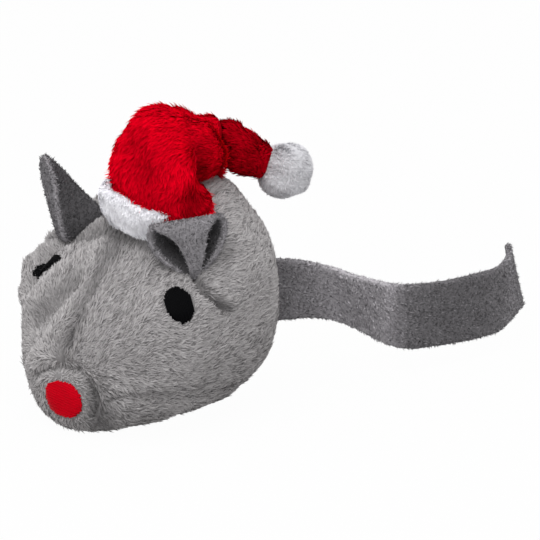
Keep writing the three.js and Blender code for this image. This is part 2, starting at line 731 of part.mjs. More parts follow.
// The crown's form as a solid, grown by an offset. Its lower end runs on into the head.
function crownSolid(offset, overrun) {
  const rings = CROWN_RING_SHARES.map((row) => crownRing(row, offset, 0));
  rings.unshift(crownRing(CROWN_RING_SHARES[0], offset, -HAT_HEM - overrun));
  if (overrun > 0) rings.push(crownRing(CROWN_RING_SHARES.at(-1), offset, overrun));
  return solid(loft(rings.map((ring) => ring.reverse())));
}

const lastRing = CROWN_RING_SHARES.at(-1);
const crownEnd = crownRing(lastRing, 0, 0)
  .reduce((sum, p) => sum.add(p), at(0, 0, 0))
  .divideScalar(HAT_SIDES);

// The tip's form as a solid, grown by an offset. Its ends come early or late by two lengths.
function tipSolid(offset, early, late) {
  const across = hatFrame(1).across;
  across.addScaledVector(TIP_DIRECTION, -across.dot(TIP_DIRECTION)).normalize();
  const up = across.clone().cross(TIP_DIRECTION);
  const spans = TIP_RADIUS_SHARES.length;
  const rings = [crownRing(lastRing, offset, TIP_GAP - early)];
  TIP_RADIUS_SHARES.forEach((share, i) => {
    const stretch = TIP_GAP + (TIP_LENGTH - late) * ((i + 1) / spans);
    const half = share * HAT_RADIUS + offset;
    rings.push(ringIn(crownEnd.clone().addScaledVector(TIP_DIRECTION, stretch), across, up, half, half, HAT_SIDES));
  });
  return solid(loft(rings.map((ring) => ring.reverse())));
}

// How far it is from a point to the body in a direction, up to a limit.
function wayToBody(point, direction, limit) {
  let low = 0;
  let high = limit;
  for (let i = 0; i < HALVINGS; i++) {
    const middle = (low + high) / 2;
    if (insideBody(point.clone().addScaledVector(direction, middle))) high = middle;
    else low = middle;
  }
  return low;
}

function insideBody(p) {
  const along = p.y / BODY_LENGTH + ORIGIN_SHARE;
  if (along <= 0 || along >= 1) return false;
  const s = section(tableShare(along), 0);
  const power = p.z > s.widest ? s.squareness : LOWER_SQUARENESS;
  const reach = p.z > s.widest ? s.top - s.widest : s.widest - s.bottom;
  return (Math.abs(p.x) / s.half) ** power + (Math.abs(p.z - s.widest) / reach) ** power < 1;
}

// The hat: a cuff that lies on the head, the crown inside it, the tip and the pompom.
function makeHat() {
  const body = bodySolid(FIT_GAP, BODY_RINGS, BODY_SIDES);
  const rings = [];
  for (let i = 0; i < CUFF_STEPS; i++) {
    const turn = (i * 2 * Math.PI) / CUFF_STEPS;
    const outward = base.across.clone().multiplyScalar(Math.cos(turn)).addScaledVector(base.rear, Math.sin(turn));
    const down = base.away.clone().negate().addScaledVector(outward, -CUFF_TUCK_SHARE).normalize();
    const side = outward.clone().addScaledVector(down, -outward.dot(down)).normalize();
    const reach = HAT_RADIUS + FIT_GAP - HAT_CLOTH + CUFF_THICKNESS / 2;
    const top = hatBase.clone().addScaledVector(outward, reach);
    const height = Math.max(wayToBody(top, down, CUFF_MOST_HEIGHT), CUFF_LEAST_HEIGHT);
    const middle = top.clone().addScaledVector(down, height / 2);
    rings.push(ringIn(middle, side, down, CUFF_THICKNESS / 2, height / 2 + CUFF_SINK, CUFF_SIDES));
  }
  const cuff = solid(closedTube(rings))
    .subtract(body)
    .subtract(crownSolid(FIT_GAP, 0))
    .subtract(tipSolid(FIT_GAP, TIP_GAP, 0))
    .subtract(solid(cloth(leftEarGrid, EAR_CLOTH + 2 * CUFF_EAR_GAP)));
  piece("hat_cuff", largest(cuff), whitePile);
  const shell = crownSolid(0, 0).subtract(crownSolid(-HAT_CLOTH, HAT_CLOTH)).subtract(body);
  piece("hat_crown", largest(shell), redPlush);
  const tip = tipSolid(0, 0, 0).subtract(tipSolid(-HAT_CLOTH, HAT_CLOTH, HAT_CLOTH)).subtract(body);
  piece("hat_tip", largest(tip), redPlush);
  const centre = crownEnd
    .clone()
    .addScaledVector(TIP_DIRECTION, TIP_GAP + TIP_LENGTH + POMPOM_GAP + POMPOM_RADIUS);
  const pompom = new THREE.IcosahedronGeometry(POMPOM_RADIUS, 7).translate(...centre.toArray());
  piece("pompom", pompom, whitePile);
}

// The largest of the bodies that a cut leaves.
function largest(made) {
  return made.decompose().sort((a, b) => b.volume() - a.volume())[0];
}

// A ring-shaped tube through rings of points, the last of which meets the first.
function closedTube(rings) {
  const sides = rings[0].length;
  const triangles = [];
  rings.forEach((ring, r) => {
    const here = r * sides;
    const next = ((r + 1) % rings.length) * sides;
    for (let s = 0; s < sides; s++) {
      const t = (s + 1) % sides;
      triangles.push(here + s, here + t, next + s, here + t, next + t, next + s);
    }
  });
  return facets(rings.flat(), triangles);
}

makeSkin();
makeSachet();
makeFilling();
makeFace();
makeSeamThreads();
makeTail();
makeEars();
makeHat();

export default mouse;
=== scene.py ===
"""A catnip mouse: plush pile, felt, embroidery and a pile hat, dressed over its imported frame."""

import math

import bpy
import numpy as np
from bpy.props import FloatProperty, FloatVectorProperty, PointerProperty
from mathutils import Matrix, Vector
from mathutils.bvhtree import BVHTree
from mathutils.kdtree import KDTree


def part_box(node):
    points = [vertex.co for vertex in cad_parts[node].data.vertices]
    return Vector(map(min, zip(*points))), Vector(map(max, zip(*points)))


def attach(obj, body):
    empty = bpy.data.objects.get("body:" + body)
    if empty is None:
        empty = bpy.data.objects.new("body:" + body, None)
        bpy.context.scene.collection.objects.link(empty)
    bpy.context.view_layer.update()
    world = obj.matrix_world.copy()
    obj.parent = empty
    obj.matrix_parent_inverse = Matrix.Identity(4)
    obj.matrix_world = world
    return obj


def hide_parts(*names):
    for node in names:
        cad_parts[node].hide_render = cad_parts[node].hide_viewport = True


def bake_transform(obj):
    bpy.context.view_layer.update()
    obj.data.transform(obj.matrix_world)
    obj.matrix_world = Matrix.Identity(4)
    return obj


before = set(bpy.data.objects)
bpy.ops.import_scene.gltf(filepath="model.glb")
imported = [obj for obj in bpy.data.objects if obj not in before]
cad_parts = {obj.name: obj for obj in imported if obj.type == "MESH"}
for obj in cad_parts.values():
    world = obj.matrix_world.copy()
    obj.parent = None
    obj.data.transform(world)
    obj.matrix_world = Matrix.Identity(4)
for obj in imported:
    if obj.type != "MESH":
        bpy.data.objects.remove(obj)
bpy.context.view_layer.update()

bl_info = {
    "name": "Catnip Mouse",
    "version": (1, 0, 0),
    "blender": (4, 5, 0),
    "location": "3D View > Sidebar > Mouse",
    "description": "Dresses the frame of a catnip mouse in plush, felt, embroidery and a pile hat",
    "category": "Object",
}

MM = 0.001
MIRROR = (-1, 1, 1)

# The stuffed body, which the frame is built to as well.
BODY_LENGTH = 76.5 * MM
BODY_WIDTH = 75 * MM
BODY_HEIGHT = 75.5 * MM
ORIGIN_SHARE = 0.53
BROW_SQUARENESS = 2.75
RUMP_SQUARENESS = 2.05
LOWER_SQUARENESS = 2.3
BELLY_SEAM_HEIGHT = 9.7 * MM
BELLY_SEAM_TILT = math.radians(9)
SNOUT_WIDTH = 22 * MM
SNOUT_HEIGHT = 20.5 * MM
SNOUT_DEPTH = 9 * MM
NOSE_Y = -ORIGIN_SHARE * BODY_LENGTH
REAR_Y = (1 - ORIGIN_SHARE) * BODY_LENGTH

# Sections from the nose to the rear: how far along, half width, bottom, top and widest height,
# as shares of the body's length, half width and height.
SECTION_SHARES = [
    [0, 0.13, 0.1, 0.21, 0.16],
    [0.007, 0.24, 0.055, 0.25, 0.17],
    [0.033, 0.4, 0.022, 0.325, 0.2],
    [0.072, 0.56, 0.005, 0.405, 0.26],
    [0.137, 0.745, -0.008, 0.505, 0.34],
    [0.216, 0.88, -0.014, 0.576, 0.4],
    [0.307, 0.965, -0.016, 0.656, 0.44],
    [0.412, 0.99, -0.016, 0.76, 0.46],
    [0.529, 0.99, -0.016, 0.875, 0.475],
    [0.634, 0.965, -0.014, 0.94, 0.48],
    [0.739, 0.9, -0.004, 0.955, 0.485],
    [0.83, 0.79, 0.04, 0.905, 0.485],
    [0.915, 0.615, 0.125, 0.81, 0.485],
    [0.974, 0.39, 0.25, 0.7, 0.48],
    [1, 0.107, 0.39, 0.57, 0.48],
]
BODY_ROWS = 190
BODY_SIDES = 220
CAP_ROWS = 8
CAP_BULGE = 0.5 * MM

# The photograph's camera.
PICTURE_WIDTH_PX = 540
PICTURE_MIDDLE_PX = PICTURE_WIDTH_PX / 2
PICTURE_SPAN = 162 * MM
CAMERA_AZIMUTH = math.radians(45)
CAMERA_ELEVATION = math.radians(17)
CAMERA_DISTANCE = 1.0
PIXEL_SPREAD = PICTURE_SPAN / PICTURE_WIDTH_PX / CAMERA_DISTANCE
CAMERA_TARGET = Vector((23.1, 26.1, 41.2)) * MM

# Creases and ridges that show in the photograph: the pixels along each, its depth and width in
# millimetres, how much painted shade darkens the pile there (below zero, how much a painted
# highlight lightens it), and a word where both sides have it. A ridge has a depth below zero.
CREASES_PX = [
    ([(36, 375), (47, 369.5), (60, 367.5), (76, 369.5), (86, 380), (92, 394), (95, 408), (92, 421)],
     1.7, 1.5, 0.22),
    ([(96, 392), (100, 407), (97, 421)], 0.9, 4.0, 0.6),
    ([(63, 364), (65, 352), (68, 338)], 0.7, 2.6, 0.22),
    ([(68, 345), (74, 328), (81, 310), (90, 291), (99, 275), (108, 256), (115, 241)], 1.6, 2.5, 0.35),
    ([(42, 320), (51, 308), (61, 297), (74, 287)], 2.0, 3.8, 0.3),
    ([(31, 365), (45, 347), (56, 331), (67, 312), (80, 289), (90, 263), (105, 248)], -1.4, 2.5, -0.17),
    ([(34, 298), (46, 283), (60, 269), (85, 255), (111, 243)], -1.1, 2.2, -0.16),
    ([(21, 309), (20.5, 326), (21.5, 344)], 2.1, 6, 0),
    ([(31, 285), (39, 270), (50, 257)], 2.7, 2.6, 0.05),
    ([(66, 242), (86, 239), (106, 233), (115, 228)], 1.1, 2.0, 0.24),
    ([(114, 237), (130, 241), (147, 246), (161, 259), (175, 268), (187, 274)], 0.6, 3.0, 0.36),
    ([(191, 274), (196, 284), (201, 292), (208, 298), (216, 304), (226, 309.5)],
     1.6, 0.9, 0.8, "both sides"),
    ([(190, 272), (196, 284), (201, 292)], 0.8, 1.2, 0.35, "both sides"),
    ([(199, 286), (210, 299), (224, 308)], 0.7, 1.8, 0.32, "both sides"),
    ([(203, 280), (213, 292), (226, 301), (237, 308)], -0.5, 2.0, -0.06, "both sides"),
    ([(207, 274), (217, 265), (226, 254)], 0.5, 2.6, 0.2),
    ([(109, 398), (130, 394), (153, 392.5), (191, 390.6), (228, 387)], 0.8, 0.9, 0.24),
    ([(272, 282), (272, 310), (264, 345)], -1.2, 9, 0),
    ([(246, 204), (256, 222), (263, 240)], 1.7, 8, 0),
    ([(166, 408), (188, 402), (204, 398)], -0.9, 7, 0),
    ([(112, 389), (150, 384), (190, 382)], -0.3, 2.2, -0.05),
    ([(32, 342), (46, 352), (62, 350)], 0, 5.0, -0.06),
]
# The same for the far side, at the pixels that see the near side's mirrored place.
FAR_CREASES_PX = [
    ([(206, 295), (208, 306), (203, 317)], -3.3, 5.4, 0),
    ([(198, 323), (187, 331), (170, 340)], -1.7, 4.0, 0),
    ([(154, 350), (147, 362), (142, 377)], 1.0, 5, 0),
]
# How far a seam counts as being where it isn't sewn.
FAR_OFF = 1.0
SEAM_DEPTH = 0.8 * MM
SEAM_WIDTH = 1.1 * MM
LUMP_HEIGHT = 0.3 * MM
LUMP_LENGTH = 17 * MM
FLOOR_CLEARANCE = 0.9 * MM
SKIN_CLOTH = 0.7 * MM
# The height that the body's pile fans out from, how much it fans for its lie to the rear, and
# the bare place under the hat.
PILE_HEIGHT = 22 * MM
PILE_SPREAD = 0.9
BARE_RADIUS = 11 * MM
BARE_DEPTH = 25 * MM

# Embroidery, which the frame holds as solid patches: its width, its height, how square its oval
# is, how its stitches slant, and how far it lies from the patch's middle, across and up.
EMBROIDERY = {
    "left_eye": (8.1 * MM, 11.3 * MM, 2, math.radians(82), (0.8 * MM, 1.1 * MM)),
    "right_eye": (6.2 * MM, 11.3 * MM, 2, math.radians(82), (-1.5 * MM, -0.3 * MM)),
    "nose": (13.7 * MM, 10.5 * MM, 2.3, math.radians(24), (-1.25 * MM, 0)),
}
EYE_TILT = math.radians(22)
PATCH_DEPTH = 6 * MM
PATCH_RIM = 1.8 * MM
STITCH_SAMPLES = 160
STITCH_STATIONS = 18
THREAD_SIDES = 8

# Ears: rows of left edge, middle and right edge. Each is a pixel of the photograph and how far
# the cloth stands out towards the viewer there, in millimetres.
EAR_CLOTH = 1.3 * MM
EAR_LEAN = math.radians(17)
LEFT_EAR_PX = [
    [(187, 276, -0.5), (194, 281, -0.5), (200, 277, -0.5)],
    [(178, 271.5, -0.3), (191, 268, -1.0), (207, 268, -0.3)],
    [(164, 263, 0), (189, 254, -3.0), (217, 255, 0)],
    [(152, 250, 0), (187, 240, -5.2), (224, 240, 0)],
    [(148.5, 238, 0.7), (186, 227, -5.0), (226.5, 228, 0.7)],
    [(149.5, 230.5, 1.8), (186, 223.5, -2.5), (225, 219, 1.8)],
    [(153.5, 226.6, 3), (186.5, 221.8, 1.5), (219.5, 215.8, 3)],
    [(157, 231.8, 3.6), (187.5, 228, 3.3), (213.5, 223.5, 3.6)],
    [(168, 236.5, 3.3), (188.5, 239, 3.5), (208, 233, 3.3)],
    [(176.5, 243, 2.8), (191, 246, 3.2), (206.3, 243, 2.8)],
    [(182.5, 252, 2.3), (193.5, 254, 2.7), (204.7, 253, 2.3)],
    [(187.3, 262, 1.8), (195, 263, 2.1), (202.5, 262.5, 1.8)],
    [(190, 271, 1), (196, 272, 1.3), (200.5, 270, 1)],
    [(192.5, 277.5, 0), (196.5, 278, 0), (200, 276, 0)],
]
LEFT_EAR_FOOT_PX = (196, 272)
LEFT_EAR_BOW = 2.0
RIGHT_EAR_PX = [
    [(59, 237, -3), (66, 241.5, 0.4), (110, 221, 3.6)],
    [(56.5, 230, -3), (62.3, 232, 1.5), (105.5, 213, 4.2)],
    [(52.5, 217, -3), (59.5, 218, 2.0), (97, 204.5, 1.8)],
    [(47.5, 200, -2.5), (56.8, 200, 2.0), (84.5, 193.5, -0.8)],
    [(43.6, 183, -2), (54.8, 182, 1.8), (71.5, 180.5, -1.4)],
    [(41, 171, -1.5), (51.3, 170, 1.5), (62, 170, -1.3)],
    [(40.2, 162, -0.8), (47.5, 161.5, 1), (53.5, 162, -0.7)],
    [(42.3, 156.5, 0), (45, 155.3, 0.4), (48, 157, 0)],
]
RIGHT_EAR_FOOT_PX = (72, 240)
RIGHT_EAR_BOW = 1.15
EAR_ROWS = 60
EAR_COLUMNS = 41
EAR_VOXEL = 0.32 * MM
# How dark the painted shade is inside the left ear's cup and on the outer facet of the right ear,
# how light the painted highlight on their rims is, and where along each ear its rows fold forwards.
CUP_PAINTED_SHADE = 0.27
FACET_PAINTED_SHADE = 0.36
RIM_PAINTED_HIGHLIGHT = 1.45
CUP_END = 0.44

# The hat's crown: rings that fan out round the line where it folds. For each: its turn in
# degrees, then its inner end, outer end and half width in shares of the hat's radius, how far
# its inner part is pinched, and how far that part bulges to the rear.
HAT_RADIUS = 15.8 * MM
HAT_ALONG = 0.539
HAT_PLACE = (4.2 * MM, 2.7 * MM)
HAT_ROLL = math.radians(18)
HAT_TURN = math.radians(18)
CROWN_RINGS = [
    [0, 0.3, 2.01, 0.99, 0, 0],
    [12, 0.36, 2.14, 0.94, 0.16, 0.01],
    [25, 0.36, 2.15, 0.94, 0.17, 0.01],
    [38, 0.27, 2.14, 0.89, 0.13, 0],
    [50, 0.23, 2.05, 0.88, 0.14, 0.02],
    [62, 0.2, 1.73, 0.79, 0.115, 0.045],
    [75, 0.23, 1.44, 0.71, 0.01, 0.117],
    [88, 0.2, 1.3, 0.506, 0, 0.08],
    [97, 0.22, 1.26, 0.37, 0, 0.01],
    [104, 0.22, 0.99, 0.244, 0, 0],
]
# The crown's sagging rim: a direction in degrees, its distance from the hat's middle and its
# rise, both in millimetres.
CROWN_RIM = [
    [-180, 15.8, 0],
    [-150, 14.3, 0],
    [-120, 12.3, 0.5],
    [-90, 10.7, 0.75],
    [-70, 10.7, 1.4],
    [-50, 12.2, 2.2],
    [-38, 14.9, 2.4],
    [-28, 17.7, 2],
    [-20, 19.6, 1.2],
    [-10, 20.3, -0.5],
    [0, 20.3, -2.3],
    [12, 19.6, -3.6],
    [24, 18.2, -3.25],
    [36, 16.4, -1.9],
    [50, 16, -0.7],
    [75, 16, -0.5],
    [100, 15.8, -0.9],
    [140, 15.8, -0.8],
    [180, 15.8, 0],
]
RIM_FADE = 42
CROWN_ROWS = 90
CROWN_SIDES = 110
# The tip's rings: how far along, how far up, then half width and half height, in millimetres.
TIP_DIRECTION = (0.26, 0.875, -0.366)
TIP_RINGS = [
    [-2, 1.6, 5.6, 8.0],
    [1.5, 2.1, 6.4, 7.9],
    [5, 2.4, 7.1, 7.1],
    [9, 1.9, 7.0, 6.8],
    [13, 1.2, 6.2, 6.3],
    [17, 0.8, 5.6, 6.3],
    [18.8, 0.4, 3.0, 2.4],
]

# Folds of the crown and the tip, in the way of the body's creases: painted shade in the folds and
# painted light on the ridges.
CROWN_CREASES_PX = [
    ([(205, 152), (202, 163), (203, 173)], 2.0, 3.4, 0.5),
    ([(190, 150), (194, 163), (196, 177)], -1.0, 2.6, -0.06),
    ([(193, 198), (190, 214)], 1.5, 3.8, 0.55),
    ([(150, 196), (172, 206)], 0.4, 5.0, 0.24),
    ([(183, 190), (180, 212)], -0.7, 2.4, 0.0),
    ([(209, 137), (215, 150), (218, 162)], -0.5, 2.0, -0.06),
    ([(141, 139), (147, 152), (146, 162)], 0.9, 4.5, 0.3),
    ([(147, 176), (163, 190)], 0.5, 3.0, 0.16),
]
TIP_CREASES_PX = [
    ([(221, 135), (226, 145), (230, 154), (229, 167)], 1.8, 2.0, 0.6),
    ([(226, 142), (234, 150)], 0.6, 2.2, 0.3),
]
# Where the cuff's left edge shows in the photograph: the pixel's height and its least x.
CUFF_EDGE_PX = [
    (150, 121), (168, 116), (177, 110.5), (182, 106), (187, 102.5), (192, 100),
    (205, 101), (211, 104.5), (217, 108.5), (227, 113), (236, 122), (246, 128),
]
# Where the crown's rim covers the cuff, in the way of the body's creases.
CUFF_CREASES_PX = [
    ([(175, 220.5), (179, 219), (184, 217)], 3.2, 3.0, 0),
    ([(178, 214), (184, 212.5)], 2.2, 2.0, 0),
    ([(190, 213), (202, 209), (213, 205)], 2.8, 3.6, 0),
    ([(107, 194), (108, 204), (112, 214)], -1.8, 4.2, 0),
]
# Painted shade that darkens the whole tip, and the pompom's tone.
TIP_PAINTED_SHADE = 0.62
POMPOM_TONE = 0.7
# How many rings of the crown and the tip stay bare of pile at each end.
CROWN_BARE = (0, 12)
TIP_BARE = (4, 9)
RED_LOCK = 0.42 * MM
CUFF_LOCK = 0.32 * MM
POMPOM_LOCK = 0.26 * MM
CUFF_COVERED = 1.1 * MM
WHITE_VOXEL = 0.6 * MM

# The tail strip: its lower edge and its lean, from the root to the end.
TAIL_WIDTH = 20.6 * MM
TAIL_CLOTH = 1.6 * MM
TAIL_REACH = 104 * MM
TAIL_ROOT_HEIGHT = 17 * MM
TAIL_START = REAR_Y + 1.2 * MM
TAIL_SEWN_IN = 8 * MM
TAIL_SHARES = [
    [0, 0, 0.95, 0, 0],
    [0.025, 0.09, 0.93, 0.05, -0.05],
    [0.059, 0.21, 0.88, 0.155, -0.205],
    [0.077, 0.297, 0.755, 0.25, -0.262],
    [0.132, 0.332, 0.65, 0.28, -0.265],
    [0.205, 0.33, 0.59, 0.22, -0.2],
    [0.287, 0.322, 0.54, 0.1, -0.095],
    [0.346, 0.345, 0.5, 0, 0],
    [0.37, 0.426, 0.46, 0, 0],
    [0.388, 0.522, 0.425, -0.025, 0.025],
    [0.395, 0.621, 0.395, -0.095, 0.095],
    [0.389, 0.7, 0.376, -0.12, 0.145],
    [0.326, 0.832, 0.335, -0.19, 0.17],
    [0.243, 0.988, 0.3, -0.41, 0.1],
]
TAIL_ROWS = 150
TAIL_COLUMNS = 14
TAIL_VOXEL = 0.42 * MM
# Painted light and shade along the tail, from the root to the end, where its bends turn towards the
# light and away from it.
TAIL_PAINTED_SHADING = [0.9, 0.9, 1.45, 2.2, 2.2, 2.1, 2.0, 0.85, 0.74, 0.74, 0.76, 0.9, 1.25, 1.05]


# Soft random fields, as strength, length and seed: how the cloth swells, how the pile swirls,
# and how its length and its tone vary.
BODY_LUMPS = [(LUMP_HEIGHT, LUMP_LENGTH, 4)]
BODY_SWIRL = [(0.3, 16 * MM, 7), (0.16, 5 * MM, 8), (0.2, 2.2 * MM, 6)]
BODY_LENGTHS = [(0.12, 7 * MM, 9)]
BODY_MOTTLE = [(0.06, 2.6 * MM, 5)]
BODY_STREAKS = [(0.08, 1.1 * MM, 3)]
EAR_FLECK = [(0.28, 1.1 * MM, 23)]
TAIL_SWIRL = [(0.5, 9 * MM, 11)]
TAIL_FLECK = [(0.38, 1.1 * MM, 17)]
RED_LUMPS = [(0.35 * MM, 9 * MM, 15)]
RED_SWIRL = [(0.3, 9 * MM, 12), (0.12, 3 * MM, 16)]
RED_MOTTLE = [(0.08, 3.2 * MM, 18)]
CUFF_LUMPS = [(0.3 * MM, 6 * MM, 19)]
CUFF_SWIRL = [(0.6, 4 * MM, 20)]
POMPOM_LUMPS = [(0.45 * MM, 9 * MM, 13)]
POMPOM_SWIRL = [(0.6, 5 * MM, 21)]

# How deep the hat's cloth lies in its pile, and how much the pompom is swollen and raised.
RED_DEPTH = 0.9 * MM
CUFF_DEPTH = 0.7 * MM
POMPOM_SWELL = 0.15 * MM
POMPOM_RAISE = 1.2 * MM

# How each pile is laid: which way it is combed, its locks on a square millimetre, and what its
# locks are like.
EAR_COMB = [0, 0.2, 1.0]
TAIL_COMB = [0.3, 1.0, -0.2]
CUFF_COMB = [0.2, -0.4, -1.0]
POMPOM_COMB = [0.3, 0.5, -1.0]
RED_DENSITY = 8
CUFF_DENSITY = 20
POMPOM_DENSITY = 24
BODY_COAT = {"lift": (0.45, 0.01), "spans": 2}
FELT_COAT = {"lift": (0.5, 0.15), "spans": 2, "curl": 0.4}
RED_COAT = {"lift": (0.45, 0.02), "spans": 4, "roll": 0.35, "curl": 0.12}
CUFF_COAT = {"lift": (0.8, 0.25), "roll": 0.25}
POMPOM_COAT = {"lift": (0.9, 0.3), "roll": 0.25}

COLOUR = {"subtype": "COLOR", "size": 3}
LENGTH = {"unit": "LENGTH"}


class MousePlush(bpy.types.PropertyGroup):
    """The grey plush of the body."""

    colour: FloatVectorProperty(
        name="Pile", description="Colour of the grey pile", default=(0.38, 0.365, 0.367), **COLOUR
    )
    inset: FloatProperty(
        name="Backing", description="How deep the cloth lies in the pile", default=0.8 * MM, **LENGTH
    )
    length: FloatProperty(
        name="Length", description="Length of a lock of pile", default=2.5 * MM, **LENGTH
    )
    width: FloatProperty(
        name="Width", description="Width of a lock of pile", default=0.36 * MM, **LENGTH
    )
    density: FloatProperty(name="Density", description="Locks on a square millimetre", default=7.5)


class MouseFelt(bpy.types.PropertyGroup):
    """The darker cloth of the ears and the tail."""

    colour: FloatVectorProperty(
        name="Felt", description="Colour of the ears and tail", default=(0.172, 0.165, 0.174), **COLOUR
    )
    length: FloatProperty(name="Nap", description="Length of the nap", default=1.3 * MM, **LENGTH)
    width: FloatProperty(
        name="Width", description="Width of a tuft of nap", default=0.26 * MM, **LENGTH
    )
    density: FloatProperty(name="Density", description="Tufts on a square millimetre", default=7.0)


class MouseHat(bpy.types.PropertyGroup):
    """The hat's red and white pile."""

    red: FloatVectorProperty(
        name="Crown", description="Colour of the red pile", default=(0.74, 0.0, 0.012), **COLOUR
    )
    white: FloatVectorProperty(
        name="Cuff", description="Colour of the white pile", default=(0.88, 0.875, 0.91), **COLOUR
    )
    red_length: FloatProperty(
        name="Red pile", description="Length of the red pile", default=3.2 * MM, **LENGTH
    )
    white_length: FloatProperty(
        name="White pile", description="Length of the white pile", default=1.7 * MM, **LENGTH
    )


class MouseStitching(bpy.types.PropertyGroup):
    """The embroidery thread of the eyes and the nose."""

    black: FloatVectorProperty(
        name="Eyes", description="Colour of the eyes' thread", default=(0.002, 0.002, 0.0024), **COLOUR
    )
    red: FloatVectorProperty(
        name="Nose", description="Colour of the nose's thread", default=(0.5, 0.0, 0.008), **COLOUR
    )
    pitch: FloatProperty(
        name="Pitch", description="From one stitch row to the next", default=0.46 * MM, **LENGTH
    )
    height: FloatProperty(
        name="Height", description="Height over the backing", default=1.2 * MM, **LENGTH
    )


class MouseStage(bpy.types.PropertyGroup):
    """The floor, the key lamp and the sky's even light."""

    key: FloatProperty(name="Key", description="Strength of the key lamp in watts", default=3.6)
    fill: FloatProperty(name="Sky", description="Strength of the even light", default=1.0)
    floor: FloatVectorProperty(
        name="Floor", description="Colour that the floor throws back", default=(0.5, 0.5, 0.5), **COLOUR
    )


def camera_place():
    """The camera's place, and its directions right, up and back."""
    turn, rise = CAMERA_AZIMUTH, CAMERA_ELEVATION
    back = Vector((math.sin(turn) * math.cos(rise), -math.cos(turn) * math.cos(rise), math.sin(rise)))
    right = Vector((math.cos(turn), math.sin(turn), 0))
    return CAMERA_TARGET + CAMERA_DISTANCE * back, right, back.cross(right), back


def pixel_ray(x, y):
    """The direction from the camera through a pixel of the photograph."""
    _, right, up, back = camera_place()
    across, down = ((place - PICTURE_MIDDLE_PX) * PIXEL_SPREAD for place in (x, y))
    return (across * right - down * up - back).normalized()


def unit(vectors):
    """Each vector at length 1."""
    return vectors / np.maximum(np.linalg.norm(vectors, axis=-1, keepdims=True), 1e-12)


def spline(rows, share):
    """A smooth curve through rows of numbers, at shares from 0 to 1 of its rows."""
    rows = np.asarray(rows, float)
    spans = len(rows) - 1
    place = np.clip(share, 0, 1) * spans
    first = np.minimum(place.astype(int), spans - 1)
    part = (place - first)[..., None]
    held = np.concatenate([[2 * rows[0] - rows[1]], rows, [2 * rows[-1] - rows[-2]]])
    a, b, c, d = (held[first + i] for i in range(4))
    bend = 2 * a - 5 * b + 4 * c - d
    return 0.5 * (2 * b + (c - a) * part + bend * part**2 + (3 * b - a - 3 * c + d) * part**3)


def waves(points, rows):
    """Smooth random fields added up, each with a strength, a length of its features and a seed."""
    total = 0
    for strength, length, seed in rows:
        rng = np.random.default_rng(seed)
        field = np.zeros(len(points))
        for _ in range(9):
            way = unit(rng.normal(size=3)) * rng.uniform(0.7, 1.4)
            field += np.cos(points @ way * (2 * math.pi / length) + rng.uniform(0, 2 * math.pi))
        total = total + strength * (field / 3)
    return total


def body_points(share, angle, offset):
    """Points of the body's surface: angle 0 is the left side, and a quarter turn is the back."""
    along, half, bottom, top, widest = spline(SECTION_SHARES, share).T
    lower = np.sin(angle) < 0
    square = BROW_SQUARENESS + (RUMP_SQUARENESS - BROW_SQUARENESS) * along
    power = 2 / np.where(lower, LOWER_SQUARENESS, square)
    middle = widest * BODY_HEIGHT
    reach = np.where(lower, middle - bottom * BODY_HEIGHT, top * BODY_HEIGHT - middle) + offset
    across = np.sign(np.cos(angle)) * np.abs(np.cos(angle)) ** power
    upward = np.sign(np.sin(angle)) * np.abs(np.sin(angle)) ** power
    x = (half * BODY_WIDTH / 2 + offset) * across
    y = (along - ORIGIN_SHARE) * BODY_LENGTH + offset * (2 * along - 1)
    return np.stack([x, y, middle + reach * upward], axis=1)


def seam_height(y):
    """The height of the side seam, which falls to the rear."""
    return BELLY_SEAM_HEIGHT / math.cos(BELLY_SEAM_TILT) - y * math.tan(BELLY_SEAM_TILT)


def vertex_normals(points, triangles):
    """The outward direction at each point of a triangle mesh."""
    a, b, c = (points[triangles[:, i]] for i in range(3))
    facing = np.cross(b - a, c - a)
    normals = np.zeros_like(points)
    for corner in range(3):
        np.add.at(normals, triangles[:, corner], facing)
    return unit(normals)


def swollen(points, triangles, height):
    """A triangle mesh's points, each moved outwards by a height."""
    return points + vertex_normals(points, triangles) * height[:, None]


def sheet_triangles(rows, columns, closed=False):
    """The triangles of a grid of points. A closed grid joins its last column to its first."""
    spans = columns if closed else columns - 1
    r, c = (index.ravel() for index in np.meshgrid(np.arange(rows - 1), np.arange(spans), indexing="ij"))
    a, b = r * columns + c, r * columns + (c + 1) % columns
    return np.vstack([np.stack([a, a + columns, b], 1), np.stack([b, a + columns, b + columns], 1)])


def tube(rings):
    """Rings of points joined and closed at both ends, as points and triangles that face out."""
    rings = np.asarray(rings)
    rows, sides = rings.shape[:2]
    points = np.vstack([rings.reshape(-1, 3), rings[0].mean(axis=0), rings[-1].mean(axis=0)])
    first = np.arange(sides)
    second = (first + 1) % sides
    last = (rows - 1) * sides
    start, end = (np.full(sides, len(points) - back) for back in (2, 1))
    caps = [np.stack([start, first, second], 1), np.stack([end, last + second, last + first], 1)]
    triangles = np.vstack([sheet_triangles(rows, sides, closed=True), *caps])
    if np.sum(vertex_normals(points, triangles) * (points - points.mean(axis=0))) < 0:
        triangles = triangles[:, ::-1]
    return points, triangles


def tree_of(points, triangles):
    """The mesh as a tree that rays can be cast at."""
    return BVHTree.FromPolygons(points.tolist(), triangles.tolist())


def distance_to_path(points, path):
    """How far each point is from a path of straight stretches."""
    nearest = np.full(len(points), np.inf)
    for a, b in zip(path[:-1], path[1:]):
        span = b - a
        share = np.clip((points - a) @ span / (span @ span), 0, 1)
        nearest = np.minimum(nearest, np.linalg.norm(points - a - share[:, None] * span, axis=1))
    return nearest


def path_on(tree, pixels):
    """The points of a surface that the photograph's pixels see."""
    eye = camera_place()[0]
    seen = [tree.ray_cast(eye, pixel_ray(x, y))[0] for x, y in pixels]
    return np.array([p for p in seen if p is not None])


